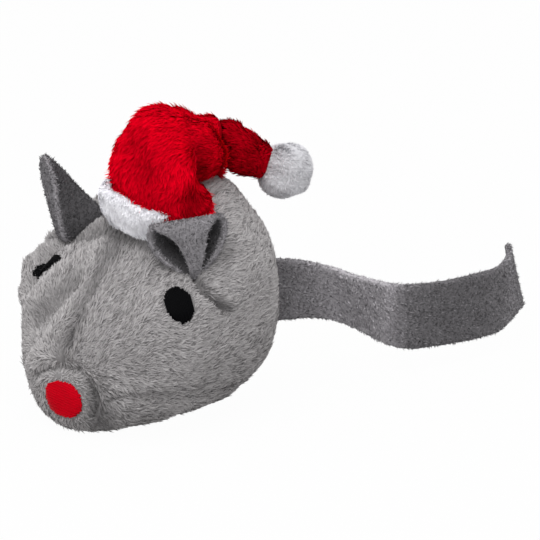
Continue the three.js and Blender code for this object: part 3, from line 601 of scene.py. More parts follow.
def creased(points, tree, creases):
    """How deep creases press in at each point, and the pile's tone there: painted shade in the creases,
    painted light on the ridges.
    """
    depth = np.zeros(len(points))
    tone = np.ones(len(points))
    for pixels, deep, wide, darker, *both in creases:
        path = path_on(tree, pixels)
        for side in (points, points * MIRROR)[: 1 + len(both)]:
            near = np.exp(-((distance_to_path(side, path) / (wide * MM)) ** 2))
            depth += deep * MM * near
            # Painted shade where a crease's column is above zero, painted light where it is below zero.
            tone *= 1 - darker * near
    return depth, tone


def body_dips(points, tree):
    """How deep the creases and seams press into the body at each point."""
    depth = creased(points, tree, CREASES_PX)[0]
    depth += creased(points * MIRROR, tree, FAR_CREASES_PX)[0]
    x, y, z = points.T
    to_top_seam = np.where(z > SNOUT_HEIGHT, np.abs(x), FAR_OFF)
    to_belly_seam = np.where(y > NOSE_Y + SNOUT_DEPTH, np.abs(z - seam_height(y)), FAR_OFF)
    for gap in (to_top_seam, to_belly_seam):
        depth += SEAM_DEPTH * np.exp(-((gap / SEAM_WIDTH) ** 2))
    return depth


def body_surface(offset):
    """The body's surface as points and triangles, with its creases, seams and soft lumps."""
    caps = np.arange(1, CAP_ROWS + 1) / (CAP_ROWS + 1)
    share = np.concatenate([np.zeros(CAP_ROWS), np.linspace(0, 1, BODY_ROWS), np.ones(CAP_ROWS)])
    keep = np.concatenate([caps, np.ones(BODY_ROWS), caps[::-1]])
    angle = np.linspace(0, 2 * math.pi, BODY_SIDES, endpoint=False)
    rings = []
    for row_share, row_keep in zip(share, keep):
        ring = body_points(np.full(BODY_SIDES, row_share), angle, offset)
        middle = ring.mean(axis=0)
        ring = middle + (ring - middle) * row_keep
        ring[:, 1] += (1 if row_share > 0.5 else -1) * CAP_BULGE * (1 - row_keep**2)
        rings.append(ring)
    points, triangles = tube(rings)
    raised = waves(points, BODY_LUMPS) - body_dips(points, tree_of(points, triangles))
    points = swollen(points, triangles, raised)
    points[:, 2] = np.maximum(points[:, 2], FLOOR_CLEARANCE)
    return points, triangles


def arrays_of(mesh):
    """A mesh's points and triangles."""
    points = np.empty(len(mesh.vertices) * 3)
    mesh.vertices.foreach_get("co", points)
    mesh.calc_loop_triangles()
    triangles = np.empty(len(mesh.loop_triangles) * 3, np.int32)
    mesh.loop_triangles.foreach_get("vertices", triangles)
    return points.reshape(-1, 3), triangles.reshape(-1, 3)


def added(name, data):
    """A new object in the scene."""
    made = bpy.data.objects.new(name, data)
    bpy.context.scene.collection.objects.link(made)
    return made


def mesh_of(name, points, faces):
    """A new mesh from points and faces."""
    mesh = bpy.data.meshes.new(name)
    mesh.from_pydata(np.asarray(points).tolist(), [], np.asarray(faces).tolist())
    return mesh


def placed(name, points, triangles, body, nodes, slot, finish):
    """A new piece on a body of the frame, which stands for nodes and has one finish."""
    mesh = mesh_of(name, points, triangles)
    mesh.shade_smooth()
    mesh.materials.append(finish)
    piece = added(name, mesh)
    if body:
        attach(piece, body)
    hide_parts(*nodes)
    return piece


def thickened(piece, thickness, offset):
    """Gives a sheet a thickness."""
    solidify = piece.modifiers.new("Thickness", "SOLIDIFY")
    solidify.thickness = thickness
    solidify.offset = offset


def melted(points, triangles, voxel, rounds, thickness=0):
    """A form with its facets melted together, as points and triangles. A sheet is thickened first."""
    mesh = mesh_of("melting", points, triangles)
    source = added("melting", mesh)
    if thickness:
        thickened(source, thickness, 0)
    remesh = source.modifiers.new("Melt", "REMESH")
    remesh.mode = "VOXEL"
    remesh.voxel_size = voxel
    smooth = source.modifiers.new("Smooth", "SMOOTH")
    smooth.iterations = rounds
    made = source.evaluated_get(bpy.context.evaluated_depsgraph_get())
    result = arrays_of(made.to_mesh())
    made.to_mesh_clear()
    bpy.data.objects.remove(source)
    bpy.data.meshes.remove(mesh)
    return result


def melted_node(node, voxel, rounds):
    """A node of the frame with its facets melted together."""
    return melted(*arrays_of(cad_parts[node].data), voxel, rounds)


def scattered(points, triangles, density, rng, flows=None):
    """Roots spread evenly over a surface, with the outward direction and the flow at each."""
    a, b, c = (points[triangles[:, i]] for i in range(3))
    areas = np.linalg.norm(np.cross(b - a, c - a), axis=1) / 2
    total = np.cumsum(areas)
    count = int(total[-1] / MM**2 * density)
    marks = (np.arange(count) + rng.random(count)) / count * total[-1]
    chosen = np.minimum(np.searchsorted(total, marks), len(triangles) - 1)
    u, v = rng.random((2, count))
    u, v = np.where(u + v > 1, 1 - u, u), np.where(u + v > 1, 1 - v, v)
    shares = np.stack([1 - u - v, u, v])[..., None]
    corners = triangles[chosen].T
    fields = [points, vertex_normals(points, triangles)] + ([] if flows is None else [flows])
    mixed = [(field[corners] * shares).sum(0) for field in fields]
    return mixed[0], *(unit(field) for field in mixed[1:])


def middle_of(node):
    """The middle of a node's box."""
    low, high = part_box(node)
    return np.array((low + high) / 2)


def turned(flow, normals, angle):
    """A flow turned about the outward direction."""
    return flow * np.cos(angle)[:, None] + np.cross(normals, flow) * np.sin(angle)[:, None]


def combed(way, normals, swirl, stray, rng):
    """A flow laid down along the surface, then turned by a swirl and by a stray for each lock."""
    way = way + 0 * normals
    flow = unit(way - (way * normals).sum(1, keepdims=True) * normals)
    return turned(flow, normals, swirl + rng.normal(0, stray, len(normals)))


# How deep locks are rooted, how far pile stays off the floor, and how wide a lock is from its
# root to its tip, as shares of its width.
ROOT_DEPTH = 0.15 * MM
PILE_CLEARANCE = 0.1 * MM
LOCK_WIDTH_SHARES = {2: [0.8, 1, 0], 3: [0.7, 1, 0.75, 0], 4: [0.7, 1, 0.95, 0.65, 0]}


def locks(roots, normals, flow, length, width, rng, tone=1.0, *, lift, spans=3, roll=0.6, curl=0.2):
    """Tapering locks as points, triangles, shades and map. lift is how steeply each end rises."""
    count = len(roots)
    length = np.broadcast_to(length, count) * rng.uniform(0.75, 1.2, count)
    width = np.broadcast_to(width, count) * rng.uniform(0.75, 1.25, count)
    side = np.cross(flow, normals)
    bend = rng.normal(0, curl, count)
    tilt = rng.normal(0, roll, count)
    rise = np.array(lift)[:, None] + rng.normal(0, 0.12, count)
    middle = roots - normals * ROOT_DEPTH
    rows = []
    for step, share in enumerate(LOCK_WIDTH_SHARES[spans]):
        at = step / spans
        angle = rise[0] + (rise[1] - rise[0]) * at
        way = flow * np.cos(angle)[:, None] + normals * np.sin(angle)[:, None]
        way = unit(way + side * (bend * at * 2)[:, None])
        if step:
            middle = middle + way * (length / spans)[:, None]
        edge = side * np.cos(tilt)[:, None] + np.cross(side, way) * np.sin(tilt)[:, None]
        half = edge * (width / 2 * share)[:, None]
        rows += [middle - half, middle + half] if share else [middle]
    per_lock = len(rows)
    points = np.stack(rows, 1).reshape(-1, 3)
    strip = []
    for step in range(spans - 1):
        k = 2 * step
        strip += [[k, k + 1, k + 3], [k, k + 3, k + 2]]
    strip.append([per_lock - 3, per_lock - 2, per_lock - 1])
    triangles = (np.arange(count)[:, None, None] * per_lock + np.array(strip)).reshape(-1, 3)
    heights = [(k // 2) / spans for k in range(per_lock)]
    shades = np.ones((count, per_lock, 4))
    shades[..., 0] = rng.random(count)[:, None]
    shades[..., 1] = heights
    shades[..., 2] = np.broadcast_to(tone, count)[:, None]
    columns = int(math.ceil(math.sqrt(count)))
    cell = np.stack([np.arange(count) % columns, np.arange(count) // columns], 1)[:, None]
    across = [0.15 + 0.7 * (k % 2) for k in range(per_lock - 1)] + [0.5]
    inside = np.stack([across, 0.1 + 0.8 * np.array(heights)], 1)
    places = ((cell + inside) / columns).reshape(-1, 2)
    return points, triangles, shades.reshape(-1, 4), places


def shaded(piece, shades):
    """Gives each point of a piece its shades: its lock's own, how high it is, and its tone, which holds
    any painted shade and light.
    """
    attribute = piece.data.attributes.new("lock", "FLOAT_COLOR", "POINT")
    attribute.data.foreach_set("color", shades.ravel())


def pile(name, tufts, body, nodes, slot, finish):
    """A piece made of locks, with their shades and a map that gives each lock a place of its own."""
    points, triangles, shades, places = tufts
    points[:, 2] = np.maximum(points[:, 2], PILE_CLEARANCE)
    piece = placed(name, points, triangles, body, nodes, slot, finish)
    shaded(piece, shades)
    mesh = piece.data
    layer = mesh.uv_layers.new(name="OFBake")
    corners = np.empty(len(mesh.loops), np.int32)
    mesh.loops.foreach_get("vertex_index", corners)
    layer.uv.foreach_set("vector", places[corners].ravel())
    return piece


# The finishes: how large their clouds and their grain are, and how deep their relief is.
PILE_CLOUD = 9 * MM
CLOTH_CLOUD = 11 * MM
CLOTH_GRAIN = 0.8 * MM
CLOTH_RELIEF = 0.2 * MM
FELT_GRAIN = 0.5 * MM
FELT_RELIEF = 0.15 * MM
THREAD_TWIST = 0.25 * MM
THREAD_RELIEF = 0.06 * MM


class Finish:
    """One material and the nodes that make it."""

    def __init__(self, name, roughness, sheen=0.0, gloss=0.1):
        self.material = bpy.data.materials.new(name)
        self.material.use_nodes = True
        self.nodes = self.material.node_tree.nodes
        self.nodes.clear()
        self.shader = self.node("ShaderNodeBsdfPrincipled")
        plain = {"Roughness": roughness, "Specular IOR Level": gloss, "Sheen Weight": sheen}
        for socket, value in {**plain, "Sheen Roughness": 0.5}.items():
            self.shader.inputs[socket].default_value = value
        output = self.node("ShaderNodeOutputMaterial")
        self.join(self.shader.outputs["BSDF"], output.inputs["Surface"])

    def node(self, kind, **settings):
        """A new node with its settings."""
        made = self.nodes.new(kind)
        for key, value in settings.items():
            setattr(made, key, value)
        return made

    def join(self, start, end):
        """A link from one socket, or a plain value, to another socket."""
        if isinstance(start, bpy.types.NodeSocket):
            self.material.node_tree.links.new(start, end)
        else:
            end.default_value = start

    def maths(self, operation, *values):
        """A Math node on sockets or numbers."""
        made = self.node("ShaderNodeMath", operation=operation)
        for value, socket in zip(values, made.inputs):
            self.join(value, socket)
        return made.outputs[0]

    def product(self, first, *others):
        """Tones multiplied together."""
        for other in others:
            first = self.maths("MULTIPLY", first, other)
        return first

    def between(self, value, low, high):
        """A share from 0 to 1 spread between two numbers."""
        return self.maths("MULTIPLY_ADD", value, high - low, low)

    def shades(self):
        """What each point carries: its lock's own shade, how high it is, and its tone, which holds any
        painted shade and light.
        """
        made = self.node("ShaderNodeSeparateColor")
        carried = self.node("ShaderNodeAttribute", attribute_name="lock")
        self.join(carried.outputs["Color"], made.inputs["Color"])
        return [made.outputs[channel] for channel in ("Red", "Green", "Blue")]

    def noise(self, size, detail=2.0, stretch=None):
        """Random clouds of a size, in the object's own space."""
        place = self.node("ShaderNodeTexCoord").outputs["Object"]
        if stretch:
            mapping = self.node("ShaderNodeMapping")
            mapping.inputs["Scale"].default_value = stretch
            self.join(place, mapping.inputs["Vector"])
            place = mapping.outputs["Vector"]
        made = self.node("ShaderNodeTexNoise")
        made.inputs["Scale"].default_value = 1 / size
        made.inputs["Detail"].default_value = detail
        self.join(place, made.inputs["Vector"])
        return made.outputs["Fac"]

    def colour(self, base, tone):
        """The base colour, lightened and darkened by a tone round 1."""
        made = self.node("ShaderNodeVectorMath", operation="SCALE")
        made.inputs[0].default_value = base
        self.join(tone, made.inputs["Scale"])
        self.join(made.outputs[0], self.shader.inputs["Base Color"])

    def bump(self, height, depth):
        """A relief of the given depth."""
        made = self.node("ShaderNodeBump")
        made.inputs["Distance"].default_value = depth
        self.join(height, made.inputs["Height"])
        self.join(made.outputs["Normal"], self.shader.inputs["Normal"])


def pile_finish(name, colour, root, spread, cloud, sheen=0.05, gloss=0.1):
    """Pile with painted shade towards its roots, locks of differing shade, soft clouds of tone, and the
    tone that its points carry, with any painted shade and light.
    """
    finish = Finish(name, 0.9, sheen, gloss)
    own, height, tone = finish.shades()
    # Painted shade deep in the pile: each lock is darkest at its root.
    rise = finish.between(finish.maths("POWER", height, 0.7), root, 1.05)
    own = finish.between(own, 1 - spread, 1 + spread)
    clouds = finish.between(finish.noise(PILE_CLOUD), 1 - cloud, 1 + cloud)
    finish.colour(colour, finish.product(rise, own, clouds, tone))
    return finish.material


def cloth_finish(name, colour, contrast, grain=CLOTH_GRAIN, depth=CLOTH_RELIEF, sheen=0.05, gloss=0.1):
    """Cloth with a fine grain in its tone and relief."""
    finish = Finish(name, 0.95, sheen, gloss)
    fine = finish.noise(grain, 4.0)
    clouds = finish.between(finish.noise(CLOTH_CLOUD), 0.93, 1.07)
    finish.colour(colour, finish.product(finish.between(fine, 1 - contrast, 1 + contrast), clouds))
    finish.bump(fine, depth)
    return finish.material


def thread_finish(name, colour, roughness):
    """Shiny thread, whose twist shows as fine slanted ridges."""
    finish = Finish(name, roughness, gloss=0.03)
    twist = finish.noise(THREAD_TWIST, 2.0, (1, 1, 0.35))
    finish.colour(colour, finish.between(twist, 0.75, 1.25))
    finish.bump(twist, THREAD_RELIEF)
    return finish.material


def felt_finish(name, colour):
    """Felt with a fleck, whose colour is also multiplied by the painted shade and light that the piece
    carries.
    """
    finish = Finish(name, 0.95, 0.05)
    fine = finish.noise(FELT_GRAIN, 4.0)
    finish.colour(colour, finish.product(finish.between(fine, 0.7, 1.3), finish.shades()[2]))
    finish.bump(fine, FELT_RELIEF)
    return finish.material


class Patch:
    """An embroidered patch: its place on the skin, its outline and its stitch direction."""

    def __init__(self, node, normal, upward):
        width, height, self.square, self.slant, shift = EMBROIDERY[node]
        self.node = node
        self.half = width / 2, height / 2
        self.normal = np.array(normal)
        self.across = unit(np.cross(upward, self.normal))
        self.up = np.cross(self.normal, self.across)
        self.middle = middle_of(node) + shift[0] * self.across + shift[1] * self.up

    def inside(self, u, v, grow=0.0):
        """Which places lie in its oval, grown by a margin."""
        wide, high = (half + grow for half in self.half)
        return np.abs(u / wide) ** self.square + np.abs(v / high) ** self.square < 1

    def local(self, points):
        """Where points lie on the patch: across, up and out."""
        return (points - self.middle) @ np.stack([self.across, self.up, self.normal], 1)

    def covers(self, points, grow=0.0):
        """Which points lie within the patch, grown by a margin."""
        u, v, out = self.local(points).T
        return (np.abs(out) < PATCH_DEPTH) & self.inside(u, v, grow)


def patches(tree):
    """The two eyes and the nose."""
    made = []
    upright = Vector((0, 0, 1))
    for node, turn in (("left_eye", EYE_TILT), ("right_eye", -EYE_TILT)):
        axis = tree.find_nearest(middle_of(node))[1].normalized()
        upward = upright * math.cos(turn) + axis.cross(upright) * math.sin(turn)
        made.append(Patch(node, axis, upward))
    return [*made, Patch("nose", (0, -1, 0), (0, 0, 1))]


BODY_PANELS = {"belly_panel": "belly", "left_side_panel": "left_side", "right_side_panel": "right_side"}


def panel_of(middles):
    """Which panel each place of the body belongs to: 0 belly, 1 left, 2 right."""
    x, y, z = middles.T
    snout = (y < NOSE_Y + SNOUT_DEPTH) & (np.abs(x) < SNOUT_WIDTH / 2) & (z < SNOUT_HEIGHT)
    return np.where((z < seam_height(y)) | snout, 0, np.where(x > 0, 1, 2))


def body_tree():
    """The body's panels together, as one tree."""
    points, triangles = [], []
    shift = 0
    for label in BODY_PANELS.values():
        p, t = arrays_of(bpy.data.objects[label + "_cloth"].data)
        points.append(p)
        triangles.append(t + shift)
        shift += len(p)
    return tree_of(np.vstack(points), np.vstack(triangles))


class MOUSE_OT_panels(bpy.types.Operator):
    """Makes the cloth of the belly panel and the two side panels"""

    bl_idname = "mouse.panels"
    bl_label = "Body Panels"

    def execute(self, context):
        settings = context.scene.mouse_plush
        points, triangles = body_surface(-settings.inset)
        group = panel_of(points[triangles].mean(axis=1))
        # The backing at half the pile's tone is painted shade under the pile.
        finish = cloth_finish("Plush backing", [c * 0.5 for c in settings.colour], 0.2)
        for k, (node, label) in enumerate(BODY_PANELS.items()):
            used, own = np.unique(triangles[group == k], return_inverse=True)
            own = points[used], own.reshape(-1, 3)
            piece = placed(label + "_cloth", *own, "mouse", [node], "grey_plush", finish)
            thickened(piece, SKIN_CLOTH, -1)
        return {"FINISHED"}


class MOUSE_OT_plush(bpy.types.Operator):
    """Grows the grey pile of the body, which runs back from the nose"""

    bl_idname = "mouse.plush"
    bl_label = "Grey Pile"

    def execute(self, context):
        settings = context.scene.mouse_plush
        finish = pile_finish("Grey pile", settings.colour, 0.83, 0.05, 0.05)
        hat = middle_of("hat_cuff")
        tree = body_tree()
        embroidered = patches(tree)
        for seed, (node, label) in enumerate(BODY_PANELS.items()):
            rng = np.random.default_rng(20 + seed)
            surface = arrays_of(bpy.data.objects[label + "_cloth"].data)
            roots, normals = scattered(*surface, settings.density, rng)
            bare = np.linalg.norm(roots[:, :2] - hat[:2], axis=1) < BARE_RADIUS
            bare &= roots[:, 2] > hat[2] - BARE_DEPTH
            for patch in embroidered:
                bare |= patch.covers(roots)
            roots, normals = roots[~bare], normals[~bare]
            outward = unit(roots * [1, 0, 1] - [0, 0, PILE_HEIGHT])
            way = PILE_SPREAD * outward + [0, 1, 0]
            flow = combed(way, normals, waves(roots, BODY_SWIRL), 0.1, rng)
            # The pile's tone: painted shade in the creases and painted light on the ridges, then random
            # mottle and streaks.
            tone = creased(roots, tree, CREASES_PX)[1]
            length = settings.length * (1 + waves(roots, BODY_LENGTHS)) * np.clip(1.7 * tone, 0.3, 1)
            for patch in embroidered:
                length = np.where(patch.covers(roots, PATCH_RIM), length * 0.6, length)
            streaks = waves(roots * (1, 0.3, 1), BODY_STREAKS)
            tone = tone * (1 + waves(roots, BODY_MOTTLE) + streaks)
            tufts = locks(roots, normals, flow, length, settings.width, rng, tone, **BODY_COAT)
            pile(label + "_pile", tufts, "mouse", [node], "grey_plush", finish)
        return {"FINISHED"}


class MOUSE_OT_embroidery(bpy.types.Operator):
    """Sews the eyes and the nose in rows of satin stitch"""

    bl_idname = "mouse.embroidery"
    bl_label = "Eyes and Nose"

    def execute(self, context):
        settings = context.scene.mouse_stitching
        black = thread_finish("Black thread", settings.black, 0.5), "black_embroidery"
        red = thread_finish("Red thread", settings.red, 0.5), "red_embroidery"
        tree = body_tree()
        for seed, patch in enumerate(patches(tree)):
            finish, slot = red if patch.node == "nose" else black
            rows = stitch_rows(patch, tree, settings, np.random.default_rng(40 + seed))
            placed(patch.node + "_stitches", *rows, "mouse", [patch.node], slot, finish)
        return {"FINISHED"}


def stitch_rows(patch, tree, settings, rng):
    """Parallel rows of thread over a patch, each a low tube that dives into the cloth at its ends."""
    reach = max(patch.half) * 1.3
    along = np.array([math.cos(patch.slant), math.sin(patch.slant)])
    beside = np.array([-along[1], along[0]])
    sideways = patch.across * beside[0] + patch.up * beside[1]
    turn = np.linspace(0, 2 * math.pi, THREAD_SIDES, endpoint=False)[:, None]
    section = (np.cos(turn) * sideways + np.sin(turn) * patch.normal) * settings.pitch * 0.56
    line = np.linspace(-reach, reach, STITCH_SAMPLES)
    fan = np.arange(1, THREAD_SIDES - 1)
    points, triangles, base = [], [], 0
    for offset in np.arange(-reach, reach, settings.pitch):
        held = line[patch.inside(*(line[:, None] * along + offset * beside).T)]
        if len(held) < 4:
            continue
        first, last = held[0] - rng.uniform(-0.2, 0.5) * MM, held[-1] + rng.uniform(-0.2, 0.5) * MM
        rings = []
        for k, station in enumerate(np.linspace(first, last, STITCH_STATIONS)):
            u, v = station * along + offset * beside
            start = patch.middle + u * patch.across + v * patch.up + patch.normal * 2 * PATCH_DEPTH
            hit = tree.ray_cast(Vector(start), Vector(-patch.normal))[0]
            if hit is None:
                continue
            edge = min(1, k / 3, (STITCH_STATIONS - 1 - k) / 3)
            rise = settings.height * (0.35 + 0.65 * edge) + rng.normal(0, 0.03) * MM
            rings.append(np.array(hit) + patch.normal * (rise - settings.pitch * 0.5) + section)
        points.append(np.vstack(rings))
        end = base + (len(rings) - 1) * THREAD_SIDES
        triangles += [
            base + sheet_triangles(len(rings), THREAD_SIDES, closed=True),
            np.stack([base + 0 * fan, base + fan, base + fan + 1], 1),
            np.stack([end + 0 * fan, end + fan + 1, end + fan], 1),
        ]
        base = end + THREAD_SIDES
    return np.vstack(points), np.vstack(triangles)


def nearest(points, others):
    """Which of the others each point is nearest to."""
    tree = KDTree(len(others))
    for k, place in enumerate(others):
        tree.insert(place, k)
    tree.balance()
    return np.array([tree.find(place)[1] for place in points])


class Felt:
    """A felt piece that is melted from a sheet, with painted shade and light on the side that faces the
    viewer.
    """

    def __init__(self, grid, voxel, thickness, tones, facing, least):
        self.sheet = grid.reshape(-1, 3)
        self.tones, self.facing, self.least = tones.ravel(), np.array(facing), least
        self.surface = melted(self.sheet, sheet_triangles(*grid.shape[:2]), voxel, 4, thickness)

    def tone(self, points, normals):
        """The painted shade and light at points of the surface, on the side that faces the viewer;
        elsewhere 1.
        """
        seen = normals @ self.facing > self.least
        return np.where(seen, self.tones[nearest(points, self.sheet)], 1)

    def cloth(self, name, body, nodes, finish):
        """The cloth as a piece."""
        piece = placed(name, *self.surface, body, nodes, "grey_felt", finish)
        shades = np.ones((len(self.surface[0]), 4))
        shades[:, 2] = self.tone(self.surface[0], vertex_normals(*self.surface))
        shaded(piece, shades)
        return piece

    def nap(self, name, roots, normals, flow, fleck, body, nodes, finish, rng):
        """The nap as a piece."""
        settings = bpy.context.scene.mouse_felt
        tone = self.tone(roots, normals) * (1 + fleck)
        size = settings.length, settings.width
        tufts = locks(roots, normals, flow, *size, rng, tone, **FELT_COAT)
        return pile(name, tufts, body, nodes, "grey_felt", finish)


def ear_grid(rows_px, foot_px, bow, tree):
    """An ear's middle sheet, from pixels in an upright plane through its foot, and where it faces."""
    eye, right, _, back = camera_place()
    foot = tree.ray_cast(eye, pixel_ray(*foot_px))[0]
    away = Vector((-back.x, -back.y, 0)).normalized() * math.sin(EAR_LEAN)
    facing = right.cross(away + Vector((0, 0, math.cos(EAR_LEAN))))
    rows = []
    for row in rows_px:
        flat = []
        for x, y, _ in row:
            ray = pixel_ray(x, y)
            flat.append(np.array(eye + ray * ((foot - eye).dot(facing) / ray.dot(facing))))
        rows.append(np.concatenate([*flat, [deep * MM for _, _, deep in row]]))
    fine = spline(rows, np.linspace(0, 1, EAR_ROWS))
    left, middle, last, depth = fine[:, 0:3], fine[:, 3:6], fine[:, 6:9], fine[:, 9:12]
    columns = []
    for side in np.linspace(-1, 1, EAR_COLUMNS):
        edge, end = (left, 0) if side < 0 else (last, 2)
        plane = middle + (edge - middle) * abs(side)
        out = depth[:, 1] + (depth[:, end] - depth[:, 1]) * abs(side) ** bow
        columns.append(plane + out[:, None] * np.array(facing))
    return np.stack(columns, 1), np.array(facing)


def ear_tones(node):
    """How light an ear's cloth and nap are at each point of its grid, on the side that faces the viewer:
    painted shade in the left ear's cup and on the right ear's outer facet, a painted highlight along the
    rims and the right ear's ridge, and the left ear's flap a little lighter.
    """
    along = np.linspace(0, 1, EAR_ROWS)[:, None]
    side = np.linspace(-1, 1, EAR_COLUMNS)
    rim = np.clip((np.abs(side) - 0.87) / 0.07, 0, 1)
    if node == "left_ear":
        cup = CUP_PAINTED_SHADE + (1 - CUP_PAINTED_SHADE) * np.clip(np.abs(side) - 0.2, 0, 1) ** 3
        return np.where(along < CUP_END, cup + (RIM_PAINTED_HIGHLIGHT - cup) * rim, 1.17 + 0.15 * rim)
    # A painted highlight along the right ear's ridge and rims, over painted shade on its outer facet.
    ridge = np.exp(-((side / 0.07) ** 2))
    tone = np.where(side > 0, FACET_PAINTED_SHADE + 0.1 * rim, 0.95 + 0.2 * rim)
    return 0 * along + tone + (RIM_PAINTED_HIGHLIGHT - tone) * ridge


class MOUSE_OT_ears(bpy.types.Operator):
    """Makes the folded left ear and the standing right ear, with their nap"""

    bl_idname = "mouse.ears"
    bl_label = "Ears"

    def execute(self, context):
        settings = context.scene.mouse_felt
        cloth = felt_finish("Ear felt", settings.colour)
        nap = pile_finish("Ear nap", settings.colour, 0.65, 0.55, 0.06)
        tree = body_tree()
        ears = {
            "left_ear": (LEFT_EAR_PX, LEFT_EAR_FOOT_PX, LEFT_EAR_BOW),
            "right_ear": (RIGHT_EAR_PX, RIGHT_EAR_FOOT_PX, RIGHT_EAR_BOW),
        }
        for seed, (node, shape) in enumerate(ears.items()):
            rng = np.random.default_rng(60 + seed)
            grid, facing = ear_grid(*shape, tree)
            ear = Felt(grid, EAR_VOXEL, EAR_CLOTH, ear_tones(node), facing, -0.3)
            ear.cloth(node + "_cloth", node, [node], cloth)
            roots, normals = scattered(*ear.surface, settings.density, rng)
            flow = combed(EAR_COMB, normals, 0, 0.9, rng)
            fleck = waves(roots, EAR_FLECK)
            ear.nap(node + "_nap", roots, normals, flow, fleck, node, [node], nap, rng)
        return {"FINISHED"}


def tail_grid():
    """The tail's middle sheet as a grid of points, from the end that is sewn in to the free end."""
    rows = spline(TAIL_SHARES, np.linspace(0, 1, TAIL_ROWS))
    low = rows[:, :3] * [TAIL_REACH, TAIL_REACH, TAIL_ROOT_HEIGHT] + [0, TAIL_START, 0]
    lean = np.stack([rows[:, 3], rows[:, 4], np.sqrt(1 - rows[:, 3] ** 2 - rows[:, 4] ** 2)], 1)
    sewn = np.linspace(-TAIL_SEWN_IN, 0, 10, endpoint=False)
    low = np.vstack([np.stack([0 * sewn, TAIL_START + sewn, 0 * sewn + TAIL_ROOT_HEIGHT], 1), low])
    lean = np.vstack([np.tile([0.0, 0.0, 1.0], (len(sewn), 1)), unit(lean)])
    across = np.linspace(0, TAIL_WIDTH, TAIL_COLUMNS)
    return low[:, None] + lean[:, None] * across[:, None]


class MOUSE_OT_tail(bpy.types.Operator):
    """Makes the strip tail, which bends where it is sewn into the body"""

    bl_idname = "mouse.tail"
    bl_label = "Tail"

    def execute(self, context):
        settings = context.scene.mouse_felt
        grid = tail_grid()
        cloth = felt_finish("Tail felt", settings.colour)
        nap = pile_finish("Tail nap", settings.colour, 0.65, 0.6, 0.06)
        nodes = ["tail", "tail_seam_tab"]
        share = np.linspace(0, 1, TAIL_ROWS)
        tones = np.interp(share, np.linspace(0, 1, len(TAIL_PAINTED_SHADING)), TAIL_PAINTED_SHADING)
        tones = np.concatenate([np.ones(len(grid) - TAIL_ROWS), tones])[:, None] * np.ones(TAIL_COLUMNS)
        # A painted highlight along the tail's top edge.
        tones[:, -2:] *= (1.15, 1.25)
        tail = Felt(grid, TAIL_VOXEL, TAIL_CLOTH, tones, camera_place()[3], 0)
        strip = tail.cloth("tail_cloth", None, nodes, cloth)
        rng = np.random.default_rng(70)
        roots, normals = scattered(*tail.surface, settings.density, rng)
        free = roots[:, 1] > TAIL_START - 3 * MM
        roots, normals = roots[free], normals[free]
        flow = combed(TAIL_COMB, normals, waves(roots, TAIL_SWIRL), 0.5, rng)
        fleck = waves(roots, TAIL_FLECK)
        fuzz = tail.nap("tail_nap", roots, normals, flow, fleck, None, nodes, nap, rng)
        for piece in (strip, fuzz):
            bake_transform(piece)
        return {"FINISHED"}


def smooth_step(share):
    """A share from 0 to 1 that starts and ends gently."""
    share = np.clip(share, 0, 1)
    return share * share * (3 - 2 * share)


def hat_frame(share):
    """The hat's directions at a share of its fold: away from the head, to the rear and across."""
    roll = HAT_ROLL * (1 - share)
    away = np.array([math.sin(roll), 0, math.cos(roll)])
    rear = np.array([math.sin(HAT_TURN), math.cos(HAT_TURN), 0])
    rear = unit(rear - away * (rear @ away))
    return away, rear, np.cross(rear, away)


def hat_base():
    """The middle of the hat's lower end, over the top of the head."""
    steps = np.linspace(0, 1, 2000)
    share = np.interp(HAT_ALONG, spline(SECTION_SHARES, steps)[:, 0], steps)
    top = body_points(np.array([share]), np.array([math.pi / 2]), 0)[0]
    return top + np.array([HAT_PLACE[0], 0, HAT_PLACE[1]])


def crown_rings():
    """The crown's rings from its sagging rim, round its fold, to the tip."""
    away, rear, across = hat_frame(0)
    base = hat_base()
    fold = base + rear * HAT_RADIUS
    turn = np.linspace(-math.pi, math.pi, CROWN_SIDES, endpoint=False)
    direction, distance, rise = np.array(CROWN_RIM).T
    distance, rise = (np.interp(np.degrees(turn), direction, field) * MM for field in (distance, rise))
    for _ in range(3):
        distance, rise = (0.5 * f + 0.25 * (np.roll(f, 1) + np.roll(f, -1)) for f in (distance, rise))
    beside, ahead = np.cos(turn)[:, None], np.sin(turn)[:, None]
    rim = base + distance[:, None] * (beside * across - ahead * rear) + rise[:, None] * away
    rings = []
    for angle, inner, outer, half, pinch, bulge in spline(CROWN_RINGS, np.linspace(0, 1, CROWN_ROWS)):
        own_away, own_rear, own_across = hat_frame(angle / 100)
        radians = math.radians(angle)
        up = own_away * math.sin(radians) - own_rear * math.cos(radians)
        width = half * (1 - pinch * smooth_step(0.15 - ahead))
        ring = own_across * beside * width + up * ((inner + outer) / 2 + ahead * (outer - inner) / 2)
        ring = fold + (ring + own_rear * bulge * smooth_step(0.9 - ahead)) * HAT_RADIUS
        if not rings:
            droop = rim - ring
        rings.append(ring + droop * (1 - smooth_step(angle / RIM_FADE)))
    return np.array(rings)


def tip_rings(end):
    """The tip's rings, which run on from the middle of the crown's end."""
    way = unit(np.array(TIP_DIRECTION))
    across = hat_frame(1)[2]
    across = unit(across - way * (across @ way))
    up = np.cross(across, way)
    turn = np.linspace(-math.pi, math.pi, CROWN_SIDES, endpoint=False)[:, None]
    rings = []
    for along, rise, wide, high in spline(TIP_RINGS, np.linspace(0, 1, CROWN_ROWS // 2)) * MM:
        ring = np.cos(turn) * across * wide + np.sin(turn) * up * high
        rings.append(end + way * along + up * rise + ring)
    return np.array(rings)


